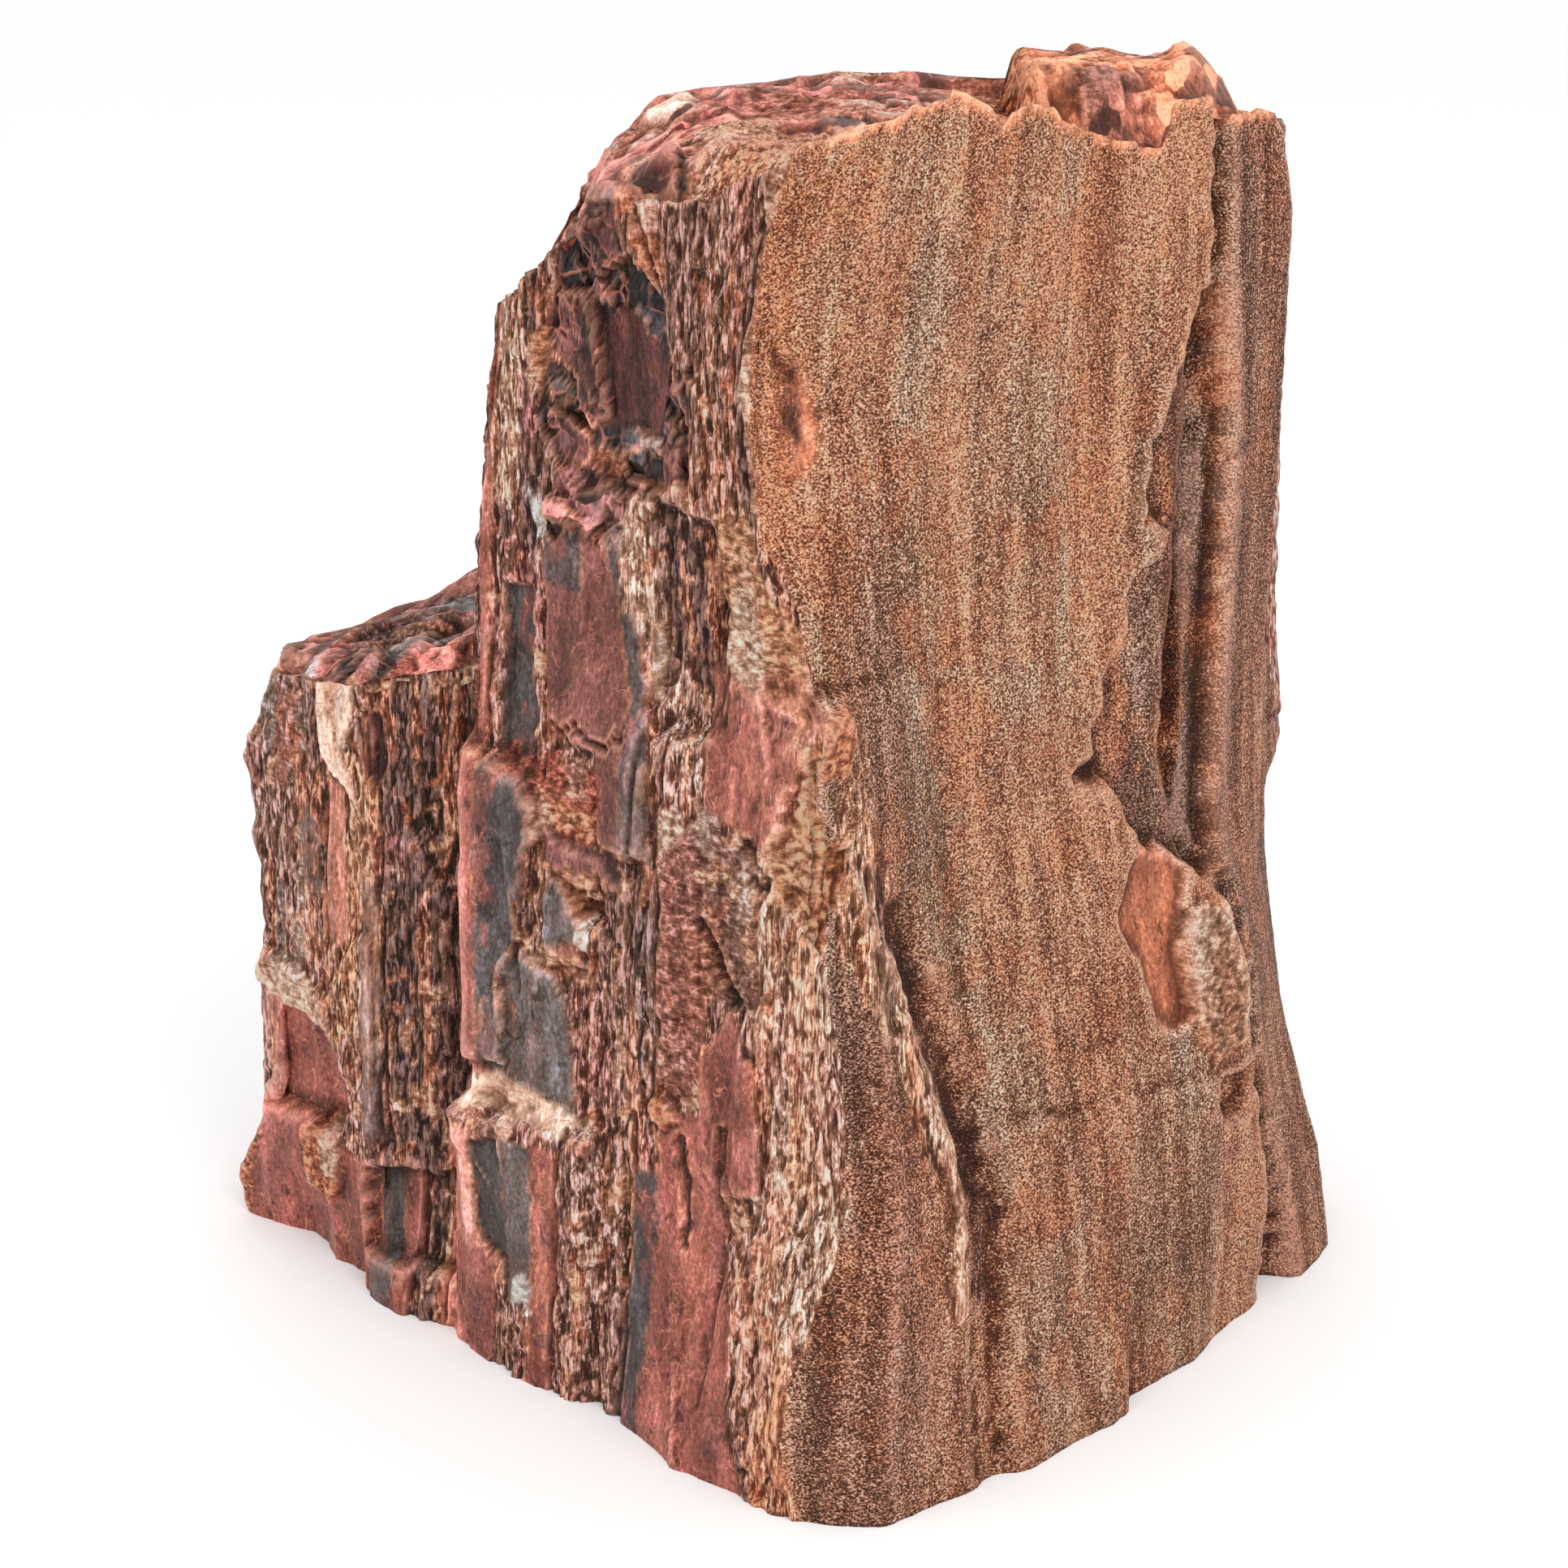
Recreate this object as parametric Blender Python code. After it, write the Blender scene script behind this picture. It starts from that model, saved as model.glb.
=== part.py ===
"""A petrified wood sculpture: one upright broken piece of a silicified trunk, resting on its flat foot.

The stone is one closed surface with two parameters. The running place u goes once round the stone
in millimetres, 0 at the near corner, negative to the left and positive to the right. The level t
climbs it: 0 at the foot, 1 at the shoulder of the low left block, 2 where its ledge meets the main
block, 3 at the top rim and 4 in the middle of the top. Upright edge lines give the plan at each
level, and ledges, grooves, chips and pits then move the surface along its own normal.
"""
import bpy
import bmesh
import numpy as np

MM = 0.001

# Driving dimensions in millimetres
SHOULDER_HEIGHT = 215.0
NECK_HEIGHT = 255.0
PEAK_RISE = 16.0
HUB = (25.0, 20.0)
CENTRE_SHIFT = (0.5, -2.6)

# Spacing of the columns of points in millimetres, numbers of rows, and the rings of the top as
# shares of the way from the rim to the hub
FRONT_SPACING = 5.9
BACK_SPACING = 14.5
WALL_ROWS = 19
LEDGE_ROWS = 4
UPPER_ROWS = 13
TOP_STEPS = (0.0, 0.06, 0.16, 0.32, 0.52, 0.74, 0.9)

# Where the running place begins and ends, at the back seam, and the stretch seen from the front
SEAM_START = -480.0
FRONT_START = -262.0
FRONT_END = 236.0
SEAM_END = 420.0

# Upright edge lines of the low left block and the back: level, x, y
SEAM_LINE = [(0, 30, 130), (3, 20, 122)]
BACK_MIDDLE = [(0, -50, 130), (1, -50, 124), (2, -48, 118), (3, -40, 108)]
BACK_LEFT = [(0, -140, 122), (1, -132, 112), (2, -80, 92), (3, -66, 84)]
LEFT_BACK = [(0, -184, 98), (1, -170, 84), (2, -92, 52), (3, -80, 46)]
LEFT_CORNER = [(0, -193, 60), (0.08, -195, 60), (0.2, -184, 49), (0.29, -178, 43), (0.5, -178, 41),
               (0.56, -176, 41), (0.85, -179, 44), (1, -168, 36), (2, -95, 14), (3, -84, 8)]
LEFT_KNOB = [(0, -163, 36), (0.2, -160, 28), (0.5, -156, 18), (1, -151, 14), (2, -95, 0), (3, -84, -8)]
CREAM_RIDGE = [(0, -141, 2), (0.5, -136, -3), (1, -133, -3), (2, -95, -10), (3, -84, -18)]
INNER_CORNER = [(0, -103, -20), (0.5, -98, -20), (1, -94, -16), (2, -93, -14), (3, -84, -22)]

# Upright edge lines of the two faces that meet at the near corner: height, x, y
LEFT_FACE_EDGE = [(0, -98, -24), (80, -98, -33), (200, -97, -31), (215, -95, -24), (240, -94, -16),
                  (281, -91, -16), (322, -87, -20), (347, -84, -23)]
LEFT_FACE_MIDDLE = [(0, -62, -62), (80, -57, -67), (215, -52, -62), (255, -52, -52), (330, -51, -50),
                    (384, -53, -50)]
LEFT_FACE_INNER = [(0, -32, -97), (80, -20, -96), (215, -18, -92), (255, -18, -82), (330, -24, -76),
                   (387, -22, -77)]
NEAR_CORNER = [(0, 3, -128), (27, -3, -128), (64, 0, -127), (104, 12, -121), (153, 9, -120),
               (189, 8, -120), (215, 10, -119), (241, 10, -120), (249, 13, -117), (256, 8, -103),
               (277, 4, -99), (298, -5, -92), (329, -8, -89), (352, -7, -89), (379, -3, -93),
               (406, 5, -100)]
ROOT_RIB = [(0, 30, -131), (64, 32, -126), (104, 34, -117), (189, 24, -108), (249, 22, -98),
            (277, 20, -85), (329, 17, -74), (406, 28, -79)]
GROOVE_LINE = [(0, 66, -107), (60, 64, -98), (104, 60, -86), (160, 52, -76), (215, 46, -70),
               (277, 44, -62), (329, 42, -56), (406, 53, -55)]
FACE_MIDDLE = [(0, 105, -70), (104, 104, -52), (215, 92, -28), (329, 85, -20), (400, 88, -20)]
FACE_EDGE = [(0, 150, -18), (90, 152, -11), (120, 150, -8), (175, 134, -4), (215, 134, 2),
             (300, 134, 12), (403, 129, 18)]
RIGHT_EDGE = [(0, 192, 38), (40, 188, 38), (87, 172, 44), (144, 161, 46), (215, 158, 46),
              (300, 158, 45), (370, 158, 45), (396, 153, 43)]
RIGHT_SIDE = [(0, 184, 78), (1, 162, 80), (2, 160, 80), (3, 152, 78)]
BACK_RIGHT = [(0, 132, 122), (1, 122, 116), (2, 118, 114), (3, 108, 108)]

# Height of the top rim along the running place
RIM = [(-480, 398), (-400, 392), (-330, 372), (-280, 358), (-245, 352), (-215, 350), (-178, 347),
       (-137, 347), (-130, 347), (-104, 364), (-78, 384), (-36, 387), (-20, 394), (-6, 402),
       (0, 405), (20, 409), (40, 412), (60, 413), (70, 408), (75, 403), (82, 406), (90, 407),
       (98, 405), (110, 398), (120, 395), (140, 390), (149, 389), (153, 401), (160, 402),
       (171, 402), (177, 395), (200, 395), (211, 393), (222, 387), (262, 390), (330, 396),
       (420, 398)]

# Top of the stone across x at its middle depth
TOP_PROFILE = [(-90, 338), (-84, 346), (-74, 352), (-69, 359), (-63, 370), (-60, 380), (-53, 389),
               (-33, 398), (-16, 404), (20, 406), (45, 404), (65, 401), (110, 400), (140, 396),
               (170, 390)]

# Front rim of the low left block in plan
LEDGE_RIM = [(-170, 60), (-168, 36), (-151, 14), (-133, -3), (-94, -16)]


def smooth(low, high, value):
    """Goes from 0 at low to 1 at high with a level start and end."""
    part = np.clip((value - low) / (high - low), 0.0, 1.0)
    return part * part * (3.0 - 2.0 * part)


def table(rows, place, column=1):
    """Reads one column of a short table of rows at any place, straight between its rows."""
    rows = np.asarray(rows, float)
    return np.interp(place, rows[:, 0], rows[:, column])


def front_line(rows):
    """Turns height, x, y rows into level, x, y rows: a level each for shoulder, neck and rim."""
    top = rows[-1][0]
    heights = (0.0, SHOULDER_HEIGHT, NECK_HEIGHT, top)
    return [(np.interp(z, heights, (0, 1, 2, 3)), x, y) for z, x, y in rows]


EDGE_LINES = [
    (-480, SEAM_LINE), (-400, BACK_MIDDLE), (-330, BACK_LEFT), (-280, LEFT_BACK),
    (-245, LEFT_CORNER), (-215, LEFT_KNOB), (-178, CREAM_RIDGE), (-137, INNER_CORNER),
    (-130, front_line(LEFT_FACE_EDGE)), (-78, front_line(LEFT_FACE_MIDDLE)),
    (-36, front_line(LEFT_FACE_INNER)), (0, front_line(NEAR_CORNER)), (30, front_line(ROOT_RIB)),
    (66, front_line(GROOVE_LINE)), (115, front_line(FACE_MIDDLE)), (172, front_line(FACE_EDGE)),
    (218, front_line(RIGHT_EDGE)), (262, RIGHT_SIDE), (330, BACK_RIGHT), (420, SEAM_LINE),
]


def lattice(ix, iy, iz, seed):
    """A fixed number from 0 to 1 for each whole-number point, mixed from its three counts."""
    mixed = (ix * 73856093) ^ (iy * 19349663) ^ (iz * 83492791) ^ (seed * 49979687)
    mixed = (mixed ^ (mixed >> 13)) * 1274126177
    return ((mixed ^ (mixed >> 16)) & 0xFFFF) / 65535.0


def noise(x, y, z, seed):
    """Smooth noise from -1 to 1: the eight lattice numbers round a point, blended between them."""
    cells = [np.floor(v).astype(np.int64) for v in (x, y, z)]
    shares = [smooth(0.0, 1.0, v - c) for v, c in zip((x, y, z), cells)]
    total = np.zeros(np.broadcast(x, y, z).shape)
    for corner in range(8):
        steps = (corner & 1, (corner >> 1) & 1, (corner >> 2) & 1)
        weight = 1.0
        for step, share in zip(steps, shares):
            weight = weight * (share if step else 1.0 - share)
        total += weight * lattice(*[c + s for c, s in zip(cells, steps)], seed)
    return 2.0 * total - 1.0


def facets(x, y, z, seed):
    """Broken faces: the nearest of one scattered point per cell gives a height and a slope."""
    cells = [np.floor(v).astype(np.int64) for v in (x, y, z)]
    nearest = np.full(np.broadcast(x, y, z).shape, 99.0)
    height = np.zeros(nearest.shape)
    for dx in (-1, 0, 1):
        for dy in (-1, 0, 1):
            for dz in (-1, 0, 1):
                cx, cy, cz = cells[0] + dx, cells[1] + dy, cells[2] + dz
                ex = x - cx - lattice(cx, cy, cz, seed)
                ey = y - cy - lattice(cx, cy, cz, seed + 1)
                ez = z - cz - lattice(cx, cy, cz, seed + 2)
                distance = ex * ex + ey * ey + ez * ez
                slope = [lattice(cx, cy, cz, seed + k) - 0.5 for k in (3, 4, 5)]
                here = lattice(cx, cy, cz, seed + 6) - 0.5 + ex * slope[0] + ey * slope[1] + ez * slope[2]
                closer = distance < nearest
                nearest = np.where(closer, distance, nearest)
                height = np.where(closer, here, height)
    return height


def inside(outline, u, z, soft=2.0):
    """1 inside a closed outline on the face and 0 outside it, blended over a soft edge in mm."""
    points = np.asarray(outline, float)
    nearest = np.full(np.broadcast(u, z).shape, 1.0e9)
    odd = np.zeros(nearest.shape, bool)
    for (ua, za), (ub, zb) in zip(points, np.roll(points, -1, axis=0)):
        du, dz = ub - ua, zb - za
        share = np.clip(((u - ua) * du + (z - za) * dz) / (du * du + dz * dz), 0.0, 1.0)
        nearest = np.minimum(nearest, np.hypot(u - ua - share * du, z - za - share * dz))
        crosses = (za > z) != (zb > z)
        where = ua + (z - za) * du / (dz if dz else 1.0e-9)
        odd ^= crosses & (u < where)
    return smooth(-soft, soft, np.where(odd, nearest, -nearest))


def line_cut(path, u, z, width):
    """A furrow along a path: 1 on the path and falling away to 0 at its width on both sides."""
    points = np.asarray(path, float)
    nearest = np.full(np.broadcast(u, z).shape, 1.0e9)
    for (ua, za), (ub, zb) in zip(points[:-1], points[1:]):
        du, dz = ub - ua, zb - za
        share = np.clip(((u - ua) * du + (z - za) * dz) / (du * du + dz * dz), 0.0, 1.0)
        nearest = np.minimum(nearest, np.hypot(u - ua - share * du, z - za - share * dz))
    return 1.0 - smooth(0.0, width, nearest)


def ledge_height(x, y):
    """Top of the low left block: it climbs to the right, steps up behind its rim, falls at the back."""
    behind = y - table(LEDGE_RIM, x)
    step = 5.0 * smooth(6.0, 14.0, behind)
    fall = 0.25 * np.maximum(0.0, y - 60.0)
    return 214.0 + 0.28 * (x + 170.0) + step - fall


def top_height(x, y):
    """Top of the main block: a profile across x, a chamfer above the left face, the peak block."""
    height = table(TOP_PROFILE, x) - 0.12 * np.maximum(0.0, y - 40.0)
    chamfer = 387.0 + 0.9 * (0.654 * (x - 5.0) + 0.757 * (y + 100.0))
    height = np.minimum(height, np.maximum(chamfer, 340.0))
    across = smooth(65.0, 68.0, x) * (1.0 - smooth(118.0, 136.0, x))
    along = smooth(-4.0, 10.0, y + 0.1 * x) * (1.0 - smooth(58.0, 80.0, y))
    broken = 5.0 * facets(x / 30.0, y / 30.0, np.zeros(x.shape), 41)
    return height + PEAK_RISE * across * along + broken


def base_surface(u, t):
    """Plain form at running place u and level t: the edge lines, blended straight between them."""
    xs = np.stack([table(line, t, 1) for _, line in EDGE_LINES])
    ys = np.stack([table(line, t, 2) for _, line in EDGE_LINES])
    places = np.array([place for place, _ in EDGE_LINES], float)
    right = np.clip(np.searchsorted(places, u, side='right'), 1, len(places) - 1)
    share = ((u - places[right - 1]) / (places[right] - places[right - 1]))[:, None]
    x = xs[right - 1] * (1.0 - share) + xs[right] * share
    y = ys[right - 1] * (1.0 - share) + ys[right] * share
    return x, y


def main_form(u, t):
    """The whole stone before its features: wall, ledge, upper wall and top, as x, y, z arrays."""
    wall = np.minimum(t, 3.0)
    x, y = base_surface(u, wall)
    shoulder_x, shoulder_y = base_surface(u, np.array([1.0]))
    neck_x, neck_y = base_surface(u, np.array([2.0]))
    on_block = (smooth(-350.0, -300.0, u) * (1.0 - smooth(-137.0, -130.0, u)))[:, None]
    shoulder = SHOULDER_HEIGHT + on_block * (ledge_height(shoulder_x, shoulder_y) - SHOULDER_HEIGHT)
    neck = NECK_HEIGHT + on_block * (ledge_height(neck_x, neck_y) - NECK_HEIGHT)
    rim = table(RIM, u)[:, None]
    level = t[None, :]
    between = shoulder + (neck - shoulder) * (level - 1.0)
    z = np.where(level <= 1.0, shoulder * level, between)
    ledge = between + on_block * (ledge_height(x, y) - between)
    z = np.where((level > 1.0) & (level < 2.0), ledge, z)
    z = np.where(level >= 2.0, neck + (rim - neck) * (level - 2.0), z)
    inward = np.clip(level - 3.0, 0.0, 1.0)
    x = x + (HUB[0] - x) * inward
    y = y + (HUB[1] - y) * inward
    settle = smooth(0.0, 0.16, inward)
    z = np.where(level > 3.0, rim + (top_height(x, y) - rim) * settle, z)
    return x, y, z


def outward(x, y, z):
    """Unit normals of the grid, from the differences between its neighbours."""
    du = [np.roll(v, -1, axis=0) - np.roll(v, 1, axis=0) for v in (x, y, z)]
    dt = [np.gradient(v, axis=1) for v in (x, y, z)]
    normal = np.stack([du[1] * dt[2] - du[2] * dt[1],
                       du[2] * dt[0] - du[0] * dt[2],
                       du[0] * dt[1] - du[1] * dt[0]])
    return normal / np.maximum(np.linalg.norm(normal, axis=0), 1.0e-9)


# Broken places of the face right of the near corner, in running place and height
MISSING_LAYER = [(168, 345), (159, 322), (153, 313), (150, 305), (147, 295), (146, 277), (157, 272),
                 (147, 261), (141, 258), (140, 244), (134, 237), (128, 230), (126, 222), (122, 217),
                 (120, 205), (112, 204), (112, 200), (127, 200), (133, 190), (137, 184), (140, 176),
                 (159, 171), (170, 158), (180, 150), (184, 170), (184, 260), (180, 345)]
SMOOTH_CHIP = [(140, 176), (159, 170), (160, 161), (156, 151), (150, 141), (151, 127), (148, 118),
               (140, 115), (136, 120), (134, 131), (132, 142), (125, 154), (126, 161), (134, 170)]
GRAINY_FLAKE = [(157, 151), (170, 151), (179, 146), (178, 125), (172, 102), (158, 99), (150, 118),
                (151, 132), (150, 142)]
BELOW_CRACK = [(67, 113), (79, 108), (89, 107), (100, 103), (120, 103), (140, 98), (160, 97),
               (180, 94), (186, 60), (187, -20), (62, -20), (62, 60)]
DARK_POCKET = [(160, 93), (178, 91), (179, 82), (172, 76), (162, 80)]
RIB_CHIP = [(0, 256), (12, 255), (20, 247), (18, 225), (16, 214), (18, 203), (20, 193), (10, 183),
            (0, 178), (-6, 188), (-18, 203), (-17, 214), (-10, 226), (-6, 242)]
CORNER_CHIP = [(-3, 356), (6, 350), (12, 344), (17, 336), (22, 326), (21, 316), (10, 311), (0, 318)]
CORNER_HOLLOW = [(6, 346), (13, 343), (16, 334), (13, 325), (7, 331)]
POST_GROOVE = [(177, 410), (177, 372), (176, 345), (174, 320), (172, 300), (170, 260), (167, 230),
               (165, 200), (172, 172), (182, 150), (184, 120), (184, 95), (188, 60), (191, 30),
               (193, -10)]
POST_GROOVE_DEPTH = [(0, 9), (60, 8), (100, 6), (150, 5), (200, 6), (300, 8), (320, 11), (345, 10),
                     (360, 5), (371, 11), (402, 12)]
ROOT_GROOVE = [(42, 185), (47, 160), (57, 133), (60, 112), (63, 97), (68, 82), (66, 60), (66, -10)]
CREAM_STRIPE = [(22, 202), (33, 180), (39, 166), (41, 142), (46, 124), (51, 110), (54, 95), (54, 60)]

# Broken places of the face left of the near corner
SHELL_BREAKS = [(-84, 390), (-70, 381), (-64, 368), (-52, 355), (-48, 343), (-40, 338), (-40, 324),
                (-45, 308), (-60, 300), (-80, 300), (-98, 305), (-108, 318), (-104, 345), (-98, 368)]
JASPER_SLAB = [(-102, 292), (-80, 289), (-71, 287), (-66, 276), (-64, 262), (-62, 245), (-62, 214),
               (-64, 194), (-79, 191), (-81, 223), (-91, 222), (-99, 226), (-101, 250)]
GREY_FURROW = [(-121, 262), (-110, 264), (-107, 240), (-107, 212), (-120, 210)]
DARK_FIBRES = [(-58, 300), (-36, 296), (-32, 275), (-34, 250), (-40, 236), (-58, 232), (-60, 262)]
CRUMBLED_EDGE = [(-30, 300), (-12, 300), (-2, 276), (0, 256), (-14, 248), (-34, 250), (-30, 275)]
PROUD_COLUMN = [(-141, 212), (-120, 211), (-106, 206), (-104, 190), (-112, 156), (-116, 140),
                (-116, 112), (-141, 108)]
SMALL_LENS = [(-100, 192), (-84, 190), (-70, 184), (-78, 178), (-100, 180)]
LARGE_LENS = [(-101, 181), (-94, 178), (-87, 166), (-84, 152), (-100, 150)]
HOLLOW = [(-88, 177), (-80, 174), (-77, 168), (-84, 165), (-88, 169)]
CREAM_LUMP = [(-87, 167), (-78, 168), (-74, 162), (-80, 158), (-87, 161)]
GREY_FACE = [(-114, 151), (-96, 148), (-90, 132), (-87, 108), (-86, 98), (-116, 98), (-118, 136)]
LOWER_BLOCK = [(-141, 91), (-120, 94), (-100, 97), (-80, 99), (-78, 60), (-80, -20), (-141, -20)]
DARK_RECESS = [(-127, 84), (-116, 86), (-112, 66), (-113, 40), (-126, 44), (-129, 62)]
WEDGE = [(-31, 156), (-21, 142), (-20, 100), (-34, 92), (-42, 108), (-41, 138)]
UPPER_SLOT = [(-44, 181), (-41, 170), (-36, 162), (-31, 156), (-29, 158), (-35, 167), (-40, 177)]
LOWER_SLOT = [(-49, 100), (-47, 90), (-48, 74)]
SHARD_SLOT = [(-27, 208), (-20, 201), (-20, 196), (-24, 200)]
JASPER_KNOB = [(-59, 118), (-52, 119), (-49, 113), (-55, 110), (-60, 112)]

# Broken places of the low left block
CREAM_SHARDS = [(-209, 222), (-170, 226), (-176, 205), (-172, 191), (-181, 186), (-196, 190),
                (-206, 198)]
RED_LENS = [(-178, 216), (-171, 213), (-170, 198), (-174, 186), (-179, 192)]
SHELF_LIP = [(-244, 113), (-222, 112), (-204, 104), (-199, 92), (-215, 95), (-236, 99), (-246, 100)]
SHELF_FACET = [(-246, 98), (-235, 97), (-215, 92), (-201, 84), (-197, 68), (-204, 54), (-222, 52),
               (-246, 52)]
ORANGE_KNOB = [(-222, 52), (-214, 57), (-203, 54), (-199, 40), (-204, 23), (-219, 26)]
LOW_COLUMNS = [(-184, 47), (-165, 51), (-147, 55), (-140, 50), (-140, 18), (-184, 18)]

# Rise or depth of each broken place in mm, with the width of its soft edge
BREAKS = [
    (MISSING_LAYER, -9.0, 1.6), (SMOOTH_CHIP, -4.0, 2.5), (GRAINY_FLAKE, 1.6, 1.5),
    (BELOW_CRACK, 1.8, 1.5), (DARK_POCKET, -7.0, 2.0), (RIB_CHIP, -4.5, 2.5),
    (CORNER_CHIP, -3.5, 2.5), (CORNER_HOLLOW, -4.0, 1.5), (SHELL_BREAKS, -2.0, 2.0),
    (JASPER_SLAB, 3.2, 2.0), (GREY_FURROW, -3.0, 2.0), (DARK_FIBRES, -4.0, 3.0),
    (CRUMBLED_EDGE, 1.5, 2.5), (PROUD_COLUMN, 4.5, 1.6), (SMALL_LENS, 2.0, 1.6),
    (LARGE_LENS, 2.6, 1.6), (HOLLOW, -7.0, 1.6), (CREAM_LUMP, 3.0, 2.0), (GREY_FACE, 2.6, 1.4),
    (LOWER_BLOCK, 7.5, 4.5), (DARK_RECESS, -6.0, 2.0), (WEDGE, 2.0, 2.5), (UPPER_SLOT, -7.0, 1.5),
    (JASPER_KNOB, 4.0, 1.5), (CREAM_SHARDS, 3.0, 2.0), (RED_LENS, -3.0, 1.6),
    (SHELF_LIP, 3.0, 2.0), (SHELF_FACET, -7.0, 2.0), (ORANGE_KNOB, 4.0, 2.5),
    (LOW_COLUMNS, -6.0, 2.0),
]

# How far the foot stands out beyond the wall along the running place
FOOT_FLARE = [(-250, 2), (-235, 0), (-222, -5), (-214, -2), (-205, 0), (-195, -2), (-190, -5),
              (-182, -1), (-175, 3), (-165, 6), (-150, 5), (-142, 4), (-137, 2), (-80, 1), (-60, 1),
              (-45, 3), (-38, 5), (-28, 4), (-10, 0), (100, 1), (112, 3), (118, 3), (124, -2),
              (150, 0), (180, -2), (186, -4), (192, -6), (196, -3), (200, 3), (215, 3), (230, 0)]


def broken_relief(u, z):
    """Sum of every broken place's rise or depth at running place u and height z, in mm."""
    relief = np.zeros(np.broadcast(u, z).shape)
    for outline, rise, soft in BREAKS:
        relief += rise * inside(outline, u, z, soft)
    relief -= table(POST_GROOVE_DEPTH, z) * line_cut(POST_GROOVE, u, z, 7.0)
    relief -= 5.0 * line_cut(ROOT_GROOVE, u, z, 10.0)
    relief += 1.6 * line_cut(CREAM_STRIPE, u, z, 5.0)
    relief -= 5.0 * line_cut(LOWER_SLOT, u, z, 3.0)
    relief -= 5.0 * line_cut(SHARD_SLOT, u, z, 3.0)
    return relief


def rough_relief(u, x, y, z):
    """Waves of the outer skin, tall broken faces on the left, and large ones round the back."""
    on_skin = smooth(-4.0, 8.0, u) * (1.0 - smooth(225.0, 250.0, u))
    on_left = smooth(-245.0, -225.0, u) * (1.0 - smooth(-10.0, 2.0, u))
    on_back = 1.0 - smooth(-270.0, -235.0, u) * (1.0 - smooth(232.0, 262.0, u))
    flutes = noise(u / 17.0, y * 0.0, z / 150.0, 11) + 0.6 * noise(x / 30.0, y / 30.0, z / 45.0, 12)
    tall = facets(x / 24.0, y / 24.0, z / 85.0, 21)
    small = facets(x / 24.0, y / 24.0, z / 42.0, 21)
    large = facets(x / 58.0, y / 58.0, z / 120.0, 31)
    return 1.3 * on_skin * flutes + 3.4 * on_left * tall + on_back * (11.0 * large + 3.0 * small)


def spaced(start, end, spacing):
    """Places from start up to but not including end, evenly spaced by about the given spacing."""
    count = int(round((end - start) / spacing))
    return np.linspace(start, end, count, endpoint=False)


def grid_places():
    """Columns, close together on the front, and rows, close together at the ledge and the rim."""
    columns = np.concatenate([spaced(SEAM_START, FRONT_START, BACK_SPACING),
                              spaced(FRONT_START, FRONT_END, FRONT_SPACING),
                              spaced(FRONT_END, SEAM_END, BACK_SPACING)])
    rows = np.concatenate([np.linspace(0.0, 1.0, WALL_ROWS, endpoint=False),
                           np.linspace(1.0, 2.0, LEDGE_ROWS, endpoint=False),
                           np.linspace(2.0, 3.0, UPPER_ROWS, endpoint=False),
                           3.0 + np.array(TOP_STEPS)])
    return columns, rows


def stone_surface():
    """Grid of points in metres: the main form, moved along its normals by the relief."""
    u, t = grid_places()
    x, y, z = main_form(u, t)
    normal = outward(x, y, z)
    normal[2][:, 0] = 0.0
    place = np.repeat(u[:, None], t.size, axis=1)
    level = np.repeat(t[None, :], u.size, axis=0)
    on_wall = 1.0 - smooth(2.97, 3.03, level)
    foot = table(FOOT_FLARE, place) * (1.0 - smooth(0.0, 45.0, z))
    relief = on_wall * (broken_relief(place, z) + rough_relief(place, x, y, z) + foot)
    x = x + normal[0] * relief
    y = y + normal[1] * relief
    z = np.maximum(z + normal[2] * relief, 0.0)
    z[:, 0] = 0.0
    return (x + CENTRE_SHIFT[0]) * MM, (y + CENTRE_SHIFT[1]) * MM, z * MM


def build_stone():
    """Meshes the grid: quads split in two, a fan round the hub on top and one flat face below."""
    x, y, z = stone_surface()
    columns, rows = x.shape
    mesh = bmesh.new()
    points = [[mesh.verts.new((x[i, j], y[i, j], z[i, j])) for j in range(rows)]
              for i in range(columns)]
    hub_height = float(z[:, -1].mean())
    hub = mesh.verts.new(((HUB[0] + CENTRE_SHIFT[0]) * MM, (HUB[1] + CENTRE_SHIFT[1]) * MM, hub_height))
    for i in range(columns):
        here = points[i]
        following = points[(i + 1) % columns]
        for j in range(rows - 1):
            mesh.faces.new((here[j], following[j], following[j + 1]))
            mesh.faces.new((here[j], following[j + 1], here[j + 1]))
        mesh.faces.new((here[-1], following[-1], hub))
    mesh.faces.new([column[0] for column in reversed(points)])
    return mesh


def stone_material():
    """Silicified wood: brick red and brown, half polished by weather."""
    material = bpy.data.materials.new('petrified_stone')
    material.use_nodes = True
    shader = material.node_tree.nodes['Principled BSDF']
    shader.inputs['Base Color'].default_value = (0.28, 0.13, 0.09, 1.0)
    shader.inputs['Roughness'].default_value = 0.6
    shader.inputs['Metallic'].default_value = 0.0
    return material


def main():
    """Clears the scene and makes the stone as one named object, standing at the origin."""
    for item in list(bpy.data.objects):
        bpy.data.objects.remove(item, do_unlink=True)
    shape = bpy.data.meshes.new('petrified_wood')
    mesh = build_stone()
    mesh.to_mesh(shape)
    mesh.free()
    shape.materials.append(stone_material())
    stone = bpy.data.objects.new('petrified_wood', shape)
    bpy.context.scene.collection.objects.link(stone)


main()
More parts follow.
